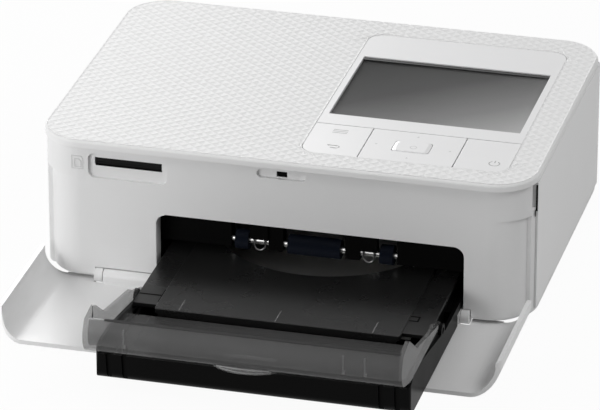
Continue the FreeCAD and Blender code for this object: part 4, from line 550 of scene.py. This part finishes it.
def lidPattern():
    low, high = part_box("top_cover")
    panelLow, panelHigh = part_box("control_panel")
    panelLow.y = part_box("menu_back_key")[0].y  # the keys reach further forward than the panel
    inset = Vector((lid["edgeInset"], lid["edgeInset"], 0))
    low, top, high = low + inset, high.z, high - inset
    gap = Vector((lid["panelGap"], lid["panelGap"], 0))
    panelLow, panelHigh = panelLow - gap, panelHigh + gap
    mesh = lidCells(top, low, high)
    for point, normal in rimPlanes(
        low, high, lid["cornerRadius"] - lid["edgeInset"], lid["cornerSteps"]
    ):
        trim(mesh, point, normal)
    planes = rimPlanes(
        panelLow, panelHigh, lid["panelRadius"] + lid["panelGap"], lid["panelSteps"]
    )
    for point, normal in planes:
        trim(mesh, point, normal, besideRim(panelLow, panelHigh, normal))
    inside = [
        f for f in mesh.faces
        if all((f.calc_center_median() - point).xy.dot(normal.xy) < 0 for point, normal in planes)
    ]
    bmesh.ops.delete(mesh, geom=inside, context="FACES")
    whole = lid["acrossDimple"] * lid["alongDimple"] / 2
    crumbs = [f for f in mesh.faces if f.calc_area() < lid["crumbShare"] * whole]
    bmesh.ops.delete(mesh, geom=crumbs, context="FACES")
    cells = [(f, f.calc_center_median(), [v.co.copy() for v in f.verts]) for f in mesh.faces]
    for share, deep in lid["rings"]:  # each cell sinks in rings towards its own middle
        bmesh.ops.inset_individual(mesh, faces=[c[0] for c in cells], thickness=0.0, depth=0.0)
        for face, centre, corners in cells:
            sink = min(1.0, math.sqrt(face.calc_area() / whole / share ** 2))
            drop = Vector((0, 0, (lid["ridge"] - lid["floor"]) * deep * sink))
            for vert, corner in zip(face.verts, corners):
                vert.co = corner.lerp(centre, 1 - share) - drop
    rim = [e for e in mesh.edges if e.is_boundary]
    for vert in movedVerts(bmesh.ops.extrude_edge_only(mesh, edges=rim)["geom"]):
        vert.co.z = top - lid["skirt"]
    toPiece(
        "lid_pattern", mesh, finishes["cover_lattice"], "printer", smooth=lid["smooth"],
    )
    return len(cells)


print("lid dimples:", lidPattern())


# Flat marks on the keys, built from bars, arcs and triangles
marks = {
    "keyTop": 57.62 * mm,
    "depth": 0.04 * mm,
    "line": 0.42 * mm,
}
menuMark = {"place": (14.4, 10.0), "bar": 5.4 * mm, "pitch": 1.25 * mm}
returnMark = {
    "place": (14.8, -3.3),
    "radius": 1.0 * mm,
    "bend": 1.4 * mm,
    "upper": (-0.1 * mm, 3.0 * mm),  # middle and length of each bar
    "lower": (0.3 * mm, 2.2 * mm),
    "head": (-1.7 * mm, 0.75 * mm),
    "steps": 12,
}
powerMark = {
    "place": (73.9, -3.2),
    "radius": 1.9 * mm,
    "start": 122,
    "sweep": 296,
    "steps": 32,
    "bar": (1.5 * mm, 1.9 * mm),
}
okMark = {
    "place": (43.1, 2.5), "top": 57.88 * mm, "radius": 1.15 * mm, "lineShare": 0.8, "steps": 28,
}
padMarks = {
    "size": 0.62 * mm,
    "places": (((29.3, 3.0), 180), ((56.4, 3.0), 0), ((42.7, 12.1), 90), ((42.7, -6.3), -90)),
}


def at(place, top):
    return Vector((place[0] * mm, place[1] * mm, top))


def addBar(mesh, middle, length, width):
    made = bmesh.ops.create_grid(mesh, x_segments=1, y_segments=1, size=0.5)["verts"]
    place = Matrix.Translation(middle)
    bmesh.ops.transform(mesh, matrix=place @ Matrix.Diagonal((length, width, 1, 1)), verts=made)


def addArc(mesh, middle, radius, width, start, sweep, steps):
    # a flat arc, from a short radial edge that is spun
    turn = Matrix.Rotation(math.radians(start), 3, "Z")
    near = mesh.verts.new(middle + turn @ Vector((radius - width / 2, 0, 0)))
    far = mesh.verts.new(middle + turn @ Vector((radius + width / 2, 0, 0)))
    edge = mesh.edges.new((near, far))
    bmesh.ops.spin(
        mesh, geom=[near, far, edge], cent=middle, axis=(0, 0, 1), angle=math.radians(sweep),
        steps=steps, use_merge=sweep >= 360,
    )


def addTriangle(mesh, middle, radius, turn):
    made = bmesh.ops.create_circle(mesh, cap_ends=True, segments=3, radius=radius)["verts"]
    place = Matrix.Translation(middle) @ Matrix.Rotation(math.radians(turn), 4, "Z")
    bmesh.ops.transform(mesh, matrix=place, verts=made)


def finishMark(name, mesh, finish, body):
    bmesh.ops.recalc_face_normals(mesh, faces=mesh.faces)
    for face in mesh.faces:
        if face.normal.z < 0:
            face.normal_flip()
    bmesh.ops.solidify(mesh, geom=mesh.faces[:], thickness=marks["depth"])
    toPiece(name, mesh, finish, body)


def keyMarks():
    line, top = marks["line"], marks["keyTop"]
    mesh = bmesh.new()
    for step in (-1, 0, 1):
        middle = at(menuMark["place"], top) + Vector((0, step * menuMark["pitch"], 0))
        addBar(mesh, middle, menuMark["bar"], line)
    turn, radius = at(returnMark["place"], top), returnMark["radius"]
    addBar(mesh, turn + Vector((returnMark["upper"][0], radius, 0)), returnMark["upper"][1], line)
    bend = turn + Vector((returnMark["bend"], 0, 0))
    addArc(mesh, bend, radius, line, -90, 180, returnMark["steps"])
    addBar(mesh, turn + Vector((returnMark["lower"][0], -radius, 0)), returnMark["lower"][1], line)
    addTriangle(
        mesh, turn + Vector((returnMark["head"][0], radius, 0)), returnMark["head"][1], 180
    )
    finishMark("left_key_marks", mesh, finishes["icon_grey"], "menu_key")
    mesh = bmesh.new()
    sign = at(powerMark["place"], top)
    addArc(
        mesh, sign, powerMark["radius"], line, powerMark["start"], powerMark["sweep"],
        powerMark["steps"],
    )
    addBar(mesh, sign + Vector((0, powerMark["bar"][0], 0)), line, powerMark["bar"][1])
    finishMark("power_key_mark", mesh, finishes["icon_grey"], "power_button")
    mesh = bmesh.new()
    ring = at(okMark["place"], okMark["top"])
    addArc(mesh, ring, okMark["radius"], line * okMark["lineShare"], 0, 360, okMark["steps"])
    finishMark("ok_key_mark", mesh, finishes["icon_pale"], "ok_button")
    mesh = bmesh.new()
    for place, turn in padMarks["places"]:
        addTriangle(mesh, at(place, top), padMarks["size"], turn)
    finishMark("pad_marks", mesh, finishes["icon_pale"], "nav")


keyMarks()
print("key marks ready")


# Raised card mark on the front, where its rounded corner begins
cardMark = {
    "outlines": ((-77.9, -73.5, 45.6, 50.75), (-76.8, -74.2, 46.3, 49.6)),
    "notch": 0.9,
    "line": 0.32 * mm,
    "lift": 0.05 * mm,
    "proud": 0.12 * mm,
    "cornerRadius": 13.5 * mm,
    "cuts": 3,
}


def cardIcon():
    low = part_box("front_panel")[0]
    radius, notch = cardMark["cornerRadius"], cardMark["notch"]
    bend = low.x + radius
    mesh = bmesh.new()
    for left, right, bottom, top in cardMark["outlines"]:
        points = [
            (left, bottom), (right, bottom), (right, top - notch), (right - notch, top), (left, top)
        ]
        outline = mesh.faces.new([mesh.verts.new((x * mm, z * mm, 0)) for x, z in points])
        outline.normal_update()
        bmesh.ops.inset_individual(mesh, faces=[outline], thickness=cardMark["line"])
        bmesh.ops.delete(mesh, geom=[outline], context="FACES_ONLY")
    bmesh.ops.subdivide_edges(
        mesh, edges=mesh.edges[:], cuts=cardMark["cuts"], use_grid_fill=True
    )
    for vert in mesh.verts:  # stands the flat mark up and wraps it round the corner
        x, z = vert.co.x, vert.co.y
        turn = max(0.0, bend - x) / radius
        vert.co = Vector((
            max(x, bend) - radius * math.sin(turn),
            low.y - cardMark["lift"] + radius * (1 - math.cos(turn)), z,
        ))
    bmesh.ops.recalc_face_normals(mesh, faces=mesh.faces)
    for face in mesh.faces:
        if face.normal.y > 0:
            face.normal_flip()
    bmesh.ops.solidify(mesh, geom=mesh.faces[:], thickness=-cardMark["proud"])
    bmesh.ops.recalc_face_normals(mesh, faces=mesh.faces)
    toPiece("card_mark", mesh, finishes["mark_white"], "printer")


cardIcon()
print("card mark ready")


# Thin trim made from blocks; each block is its span across, in depth and in height, in mm
def block(mesh, low, high, edge=0.0):
    made = bmesh.ops.create_cube(mesh, size=1.0)["verts"]
    low, high = Vector(low) * mm, Vector(high) * mm
    size = high - low
    place = Matrix.Translation((low + high) / 2) @ Matrix.Diagonal((size.x, size.y, size.z, 1))
    bmesh.ops.transform(mesh, matrix=place, verts=made)
    if edge:
        around = list({e for v in made for e in v.link_edges})
        bmesh.ops.bevel(
            mesh, geom=around, offset=edge * mm, affect="EDGES", segments=2, profile=0.5,
            material=-1,
        )


def blockPiece(name, spans, finish, body, edge=0.0):
    mesh = bmesh.new()
    for span in spans:
        block(mesh, [s[0] for s in span], [s[1] for s in span], edge)
    toPiece(name, mesh, finishes[finish], body)


def beyond(edge, span):
    return (edge + span[0], edge + span[1])


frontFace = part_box("front_panel")[0].y / mm

# the dark inside of the card slot and its lower lip, their depths from the front's face
cardSlot = {
    "across": (-69.2, -44.4),
    "inside": ((1.75, 2.1), (47.6, 50.2)),
    "flap": ((1.45, 1.8), (48.1, 48.5)),
    "lip": ((1.36, 1.45), (47.1, 47.75)),
}


def cardSlotTrim():
    def span(part):
        deep, high = cardSlot[part]
        return cardSlot["across"], beyond(frontFace, deep), high

    blockPiece(
        "card_slot_flap", [span("inside"), span("flap")], "port_black", "printer"
    )
    blockPiece("card_slot_lip", [span("lip")], "liner_black", "printer")


cardSlotTrim()

# the shade in the gap at the front's right end, from the front panel's rear right corner
fingerGap = (
    ((0.05, 0.72), (-0.12, -0.03), (43.4, 53.6)),
    ((0.02, 0.2), (-0.9, -0.3), (41.6, 44.0)),
)


def fingerGapShade():
    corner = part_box("front_panel")[1] / mm
    spans = [
        (beyond(corner.x, across), beyond(corner.y, deep), high) for across, deep, high in fingerGap
    ]
    blockPiece("finger_gap_shade", spans, "port_black", "printer")


fingerGapShade()

# the strip that fills the gap round the control panel
seal = {"near": 0.04, "rearNear": 0.02, "far": 0.5, "corner": 6.0, "high": (57.2, 57.54),
        "leftStart": -3.0, "rightStart": 16.0}


def panelSeal():
    low, high = (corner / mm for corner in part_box("control_panel"))
    rear = high.y - seal["corner"]
    blockPiece(
        "panel_seal",
        [((low.x - seal["far"], low.x - seal["near"]), (seal["leftStart"], rear), seal["high"]),
         ((low.x + seal["corner"], high.x - seal["corner"]),
          (high.y + seal["rearNear"], high.y + seal["far"]), seal["high"]),
         ((high.x + seal["near"], high.x + seal["far"]), (seal["rightStart"], rear), seal["high"])],
        "panel_white", "printer",
    )


panelSeal()

latchShade = {"across": (-2.0, 2.0), "deep": (1.5, 1.9), "high": (50.5, 52.7)}
blockPiece(
    "latch_hole_shade",
    [(latchShade["across"], beyond(frontFace, latchShade["deep"]), latchShade["high"])],
    "liner_black", "printer",
)

# a painted shadow: a dark strip along the display window's rear edge, where the recess wall shades
# it
mask = {"margin": 0.1, "width": 2.0, "thick": 0.03}


def displayPaintedShadow():
    low, high = (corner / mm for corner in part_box("display_window"))
    across = (low.x + mask["margin"], high.x - mask["margin"])
    along = (high.y - mask["width"], high.y - mask["margin"])
    blockPiece(
        "display_painted_shadow", [(across, along, (high.z, high.z + mask["thick"]))], "display_shadow_paint",
        "printer",
    )


displayPaintedShadow()

lidFins = {"places": (-25.4, 9.6, 44.7), "half": 0.22, "along": (-64.4, -55.8),
           "high": (16.2, 16.75), "edge": 0.15}
# the fins get the pale smoke, a painted glint
blockPiece(
    "lid_fins",
    [((x - lidFins["half"], x + lidFins["half"]), lidFins["along"], lidFins["high"])
     for x in lidFins["places"]],
    "tray_painted_glint", "cassette", edge=lidFins["edge"],
)

guideMarks = {
    "high": (15.9, 16.07),
    "lines": (
        ((-43.0, -34.4), (-53.6, -52.9)), ((-34.8, -34.2), (-58.4, -48.4)),
        ((53.2, 57.4), (-47.6, -47.0)), ((54.2, 58.0), (-51.0, -50.4)),
        ((57.4, 58.0), (-51.0, -47.0)),
    ),
}
blockPiece(
    "guide_marks", [line + (guideMarks["high"],) for line in guideMarks["lines"]], "liner_black",
    "cassette",
)
print("thin trim ready")


# Pickup rollers: rubber with fine ribs along the axis
roller = {
    "ribs": 40,
    "ribDepth": 0.14 * mm,
    "boreGap": 0.01 * mm,
    "endWidth": 4.9 * mm,
    "middleHalf": 9.7 * mm,
    "smooth": 15.0,
}


def ribbedRollers():
    low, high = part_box("pickup_rollers")
    shaftLow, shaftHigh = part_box("pickup_shaft")
    middle = (low + high) / 2
    radius = (high.z - low.z) / 2
    bore = (shaftHigh.z - shaftLow.z) / 2 + roller["boreGap"]
    spans = (
        (low.x, low.x + roller["endWidth"]),
        (middle.x - roller["middleHalf"], middle.x + roller["middleHalf"]),
        (high.x - roller["endWidth"], high.x),
    )
    mesh = bmesh.new()
    for left, right in spans:
        outer = bmesh.ops.create_circle(mesh, segments=2 * roller["ribs"], radius=radius)["verts"]
        inner = bmesh.ops.create_circle(mesh, segments=2 * roller["ribs"], radius=bore)["verts"]
        for vert in outer[::2]:
            vert.co *= (radius - roller["ribDepth"]) / radius
        edges = list({e for v in outer + inner for e in v.link_edges})
        ring = bmesh.ops.bridge_loops(mesh, edges=edges)["faces"]
        stand = Matrix.Rotation(math.pi / 2, 4, "Y")
        place = Matrix.Translation((left, middle.y, middle.z))
        bmesh.ops.transform(mesh, matrix=place @ stand, verts=outer + inner)
        grown = bmesh.ops.extrude_face_region(mesh, geom=ring)["geom"]
        bmesh.ops.translate(mesh, vec=(right - left, 0, 0), verts=movedVerts(grown))
    bmesh.ops.recalc_face_normals(mesh, faces=mesh.faces)
    toPiece(
        "pickup_roller_rubber", mesh, finishes["roller_rubber"], "pickup",
        replaces="pickup_rollers", smooth=roller["smooth"],
    )


ribbedRollers()
print("rollers ready")


# White edge of the opening, seen on its left side, in mm
opening = {
    "left": -46.8,
    "top": 31.0,
    "radius": 4.0,
    "low": 5.5,
    "sunk": 0.05,
    "deep": 5.8,
    "thick": 0.25,
    "sweep": 80,
    "steps": 8,
}


def openingEdge():
    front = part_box("front_panel")[0].y + opening["sunk"] * mm
    left, radius, thick = opening["left"] * mm, opening["radius"] * mm, opening["thick"] * mm
    back = front + opening["deep"] * mm
    low = opening["low"] * mm
    bend = opening["top"] * mm - radius
    mesh = bmesh.new()
    corners = ((left, front), (left + thick, front), (left + thick, back), (left, back))
    ring = mesh.faces.new([mesh.verts.new((x, y, low)) for x, y in corners])
    grown = bmesh.ops.extrude_face_region(mesh, geom=[ring])["geom"]
    bmesh.ops.translate(mesh, vec=(0, 0, bend - low), verts=movedVerts(grown))
    top = [g for g in grown if isinstance(g, bmesh.types.BMFace)]
    bmesh.ops.spin(
        mesh, geom=top, cent=(left + radius, 0, bend), axis=(0, 1, 0),
        angle=math.radians(opening["sweep"]), steps=opening["steps"],
    )
    bmesh.ops.recalc_face_normals(mesh, faces=mesh.faces)
    toPiece("opening_edge", mesh, finishes["case_white"], "printer")


openingEdge()
print("opening edge ready")


# OK key with sloped ends, painted paler as a highlight where they catch the light
okKey = {
    "cornerRadius": 1.3 * mm,
    "cornerSegments": 4,
    "rise": 0.28 * mm,
    "endSlope": 1.25 * mm,
    "sideSlope": 0.25 * mm,
    "sunk": 0.04 * mm,  # leaves room under the CAD's top for the ring
    "highlightSlope": (0.5, 0.999),
    "smooth": 8.0,
}


def slopedKey():
    low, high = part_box("ok_key")
    high.z -= okKey["sunk"]
    mesh = bmesh.new()
    shoulder = high.z - okKey["rise"]
    block(mesh, low / mm, Vector((high.x, high.y, shoulder)) / mm)
    upright = [e for e in mesh.edges if abs((e.verts[0].co - e.verts[1].co).z) > 1 * mm]
    bmesh.ops.bevel(
        mesh, geom=upright, offset=okKey["cornerRadius"], affect="EDGES",
        segments=okKey["cornerSegments"], profile=0.5, material=-1,
    )
    top = max(mesh.faces, key=lambda f: f.calc_center_median().z)
    bmesh.ops.inset_individual(mesh, faces=[top], thickness=0.0, depth=0.0)
    middle = (low + high) / 2
    shrinkX = 1 - 2 * okKey["endSlope"] / (high.x - low.x)
    shrinkY = 1 - 2 * okKey["sideSlope"] / (high.y - low.y)
    for vert in top.verts:
        vert.co.x = middle.x + (vert.co.x - middle.x) * shrinkX
        vert.co.y = middle.y + (vert.co.y - middle.y) * shrinkY
        vert.co.z = high.z
    # faces sloping to the sides get the paler finish, a painted highlight
    least, most = okKey["highlightSlope"]
    for face in mesh.faces:
        slope = face.normal
        face.material_index = 1 if least < slope.z < most and abs(slope.x) > abs(slope.y) else 0
    bmesh.ops.recalc_face_normals(mesh, faces=mesh.faces)
    piece = toPiece(
        "ok_key_cap", mesh, finishes["key_white"], "ok_button", replaces="ok_key",
        smooth=okKey["smooth"],
    )
    piece.data.materials.append(finishes["key_painted_highlight"])


slopedKey()
print("OK key ready")


# Output tray, in mm: a painted shade line on its front wall, ribs inside that wall, the seam of the
# left ear, the edges of the thumb tab and the side of the right ear; the ribs, tab edges and ear
# side are painted pale as highlights
trayRim = {"left": 7.0, "right": 1.0, "along": (-109.25, -107.6), "high": (32.3, 32.44)}
trayRibs = {
    "places": (-32.0, 45.6, 53.2),
    "half": 0.25,
    "stem": ((1.4, 2.2), (24.0, 30.2)),
    "foot": ((1.4, 3.0), (23.2, 24.2)),
    "footShare": 3,
    "edge": 0.1,
}
earSeam = {
    "lines": (
        ((-0.03, 0.1), (-99.5, -99.1), (27.4, 32.6)), ((-0.06, 0.1), (-99.9, -98.7), (28.2, 29.7)),
    ),
    "edge": 0.05,
}
tabEdges = {
    "sunk": 1.5,
    "bead": 0.24,
    "beadSegments": 8,
    "steps": 24,
    "arcs": {"tab_edge": (18.5, 19.3, 62.0), "tab_rear_edge": (59.2, 20.6, 62.0 / 3.4)},
}
rightEar = {"slope": 0.6, "above": 22.0}


def trayBlocks(low, high):
    across = (low.x + trayRim["left"], high.x - trayRim["right"])
    # a dark strip over the front wall's top edge: painted shade
    blockPiece(
        "tray_rim_shade", [(across, trayRim["along"], trayRim["high"])], "tray_shade_line", "tray",
    )
    half = trayRibs["half"]
    spans = []
    for x in trayRibs["places"]:
        for reach, (deep, tall) in ((half, trayRibs["stem"]),
                                    (trayRibs["footShare"] * half, trayRibs["foot"])):
            spans.append(((x - half, x + reach), beyond(low.y, deep), tall))
    # the ribs get the pale smoke, a painted glint
    blockPiece("tray_ribs", spans, "tray_painted_glint", "tray", edge=trayRibs["edge"])
    seam = [(beyond(low.x, across), along, tall) for across, along, tall in earSeam["lines"]]
    blockPiece("ear_seam", seam, "tray_seam", "tray", edge=earSeam["edge"])


def tabBeads(low, high):
    # a small round bead along each curved edge of the thumb tab
    front = (low.y + tabEdges["sunk"]) * mm
    across = (low.x + high.x) / 2 * mm
    for name, (radius, height, sweep) in tabEdges["arcs"].items():
        middle = Vector((across, front + radius * mm, height * mm))
        mesh = bmesh.new()
        made = bmesh.ops.create_circle(
            mesh, cap_ends=True, segments=tabEdges["beadSegments"], radius=tabEdges["bead"] * mm
        )
        start = Matrix.Rotation(math.radians(-90 - sweep / 2), 4, "Z")
        place = Matrix.Translation(middle) @ start @ Matrix.Translation((radius * mm, 0, 0))
        stand = Matrix.Rotation(math.pi / 2, 4, "X")
        bmesh.ops.transform(mesh, matrix=place @ stand, verts=made["verts"])
        bmesh.ops.spin(
            mesh, geom=mesh.faces[:] + mesh.edges[:] + mesh.verts[:], cent=middle, axis=(0, 0, 1),
            angle=math.radians(sweep), steps=tabEdges["steps"],
        )
        bmesh.ops.recalc_face_normals(mesh, faces=mesh.faces)
        # the beads get the pale smoke, a painted highlight
        toPiece(name, mesh, finishes["tray_painted_glint"], "tray")


def glintEar():
    # the right ear's upper sides get the pale smoke, a painted highlight
    tray = bpy.data.objects["output_tray_shell"].data
    tray.materials.append(finishes["tray_painted_glint"])
    for face in tray.polygons:
        sideways = abs(face.normal.x) > rightEar["slope"]
        if sideways and face.center.z > rightEar["above"] * mm and face.center.x > 0:
            face.material_index = 1


trayLow, trayHigh = (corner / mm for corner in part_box("output_tray"))
trayBlocks(trayLow, trayHigh)
tabBeads(trayLow, trayHigh)
glintEar()
print("tray details ready")


# Camera, lamps, floor and world
studio = {
    "lens": 298.57,
    "sensor": 36.0,
    "nearClip": 0.05,
    "place": (0.409376, -1.570832, 0.794436),
    "turn": (64.82, 0.0, 14.54),
    "fillLevel": 0.2,
    "aim": (0, 0, 0.03),
    "lamps": {  # place, width, watts
        "key": ((-0.6, -0.1, 0.28), 0.2, 1.12),
        "front": ((-0.3, -0.45, 0.15), 0.3, 1.15),
        "rear": ((-0.4, 0.7, 0.4), 0.4, 3.2),
        "right": ((0.45, -0.1, 0.6), 0.5, 2.1),
    },
}
floorLook = {"size": 3.0, "drop": 0.0001, "white": 1.03, "shade": 0.55, "whiteShare": 0.92}
seenRays = ("Is Camera Ray", "Is Glossy Ray", "Is Transmission Ray")


def addCamera():
    data = bpy.data.cameras.new("camera")
    data.lens = studio["lens"]
    data.sensor_width = studio["sensor"]
    data.clip_start = studio["nearClip"]
    camera = bpy.data.objects.new("camera", data)
    camera.location = studio["place"]
    camera.rotation_euler = Euler([math.radians(a) for a in studio["turn"]], "XYZ")
    bpy.context.scene.collection.objects.link(camera)
    bpy.context.scene.camera = camera


def addLamp(name, place, width, power):
    data = bpy.data.lights.new(name, "AREA")
    data.shape = "RECTANGLE"
    data.size = data.size_y = width
    data.energy = power
    lamp = bpy.data.objects.new(name, data)
    lamp.location = place
    away = Vector(studio["aim"]) - Vector(place)
    lamp.rotation_euler = away.to_track_quat("-Z", "Y").to_euler()
    bpy.context.scene.collection.objects.link(lamp)


def anyOf(paint, names):
    rays = [paint.node("ShaderNodeLightPath", {}, {}, name) for name in names]
    total = rays[0]
    for ray in rays[1:]:
        total = paint.node("ShaderNodeMath", {"operation": "MAXIMUM"}, {0: total, 1: ray})
    return total


def addWorld():
    world = bpy.data.worlds.new("studio")
    bpy.context.scene.world = world
    paint = Paint("studio", world)
    level = anyOf(paint, seenRays) * (1.0 - studio["fillLevel"]) + studio["fillLevel"]
    sky = paint.node(
        "ShaderNodeBackground", {}, {"Color": (1.0, 1.0, 1.0, 1.0), "Strength": level}
    )
    paint.output(sky, "ShaderNodeOutputWorld")


def addFloor():
    mesh = bmesh.new()
    bmesh.ops.create_grid(mesh, x_segments=1, y_segments=1, size=floorLook["size"] / 2)
    data = bpy.data.meshes.new("floor")
    mesh.to_mesh(data)
    mesh.free()
    floor = bpy.data.objects.new("floor", data)
    floor.location = (0, 0, -floorLook["drop"])
    bpy.context.scene.collection.objects.link(floor)
    paint = Paint("floor")
    white = paint.node(
        "ShaderNodeEmission", {}, {"Color": (1, 1, 1, 1), "Strength": floorLook["white"]}
    )
    shade = paint.node("ShaderNodeBsdfDiffuse", {}, {"Color": grey(floorLook["shade"])})
    factor = anyOf(paint, seenRays) * floorLook["whiteShare"]
    paint.output(paint.node("ShaderNodeMixShader", {}, {0: factor, 1: shade, 2: white}))
    data.materials.append(paint.material)


bpy.context.scene.view_settings.view_transform = "Standard"
addCamera()
addWorld()
addFloor()
for name, (place, width, power) in studio["lamps"].items():
    addLamp(name, place, width, power)
print("studio ready")
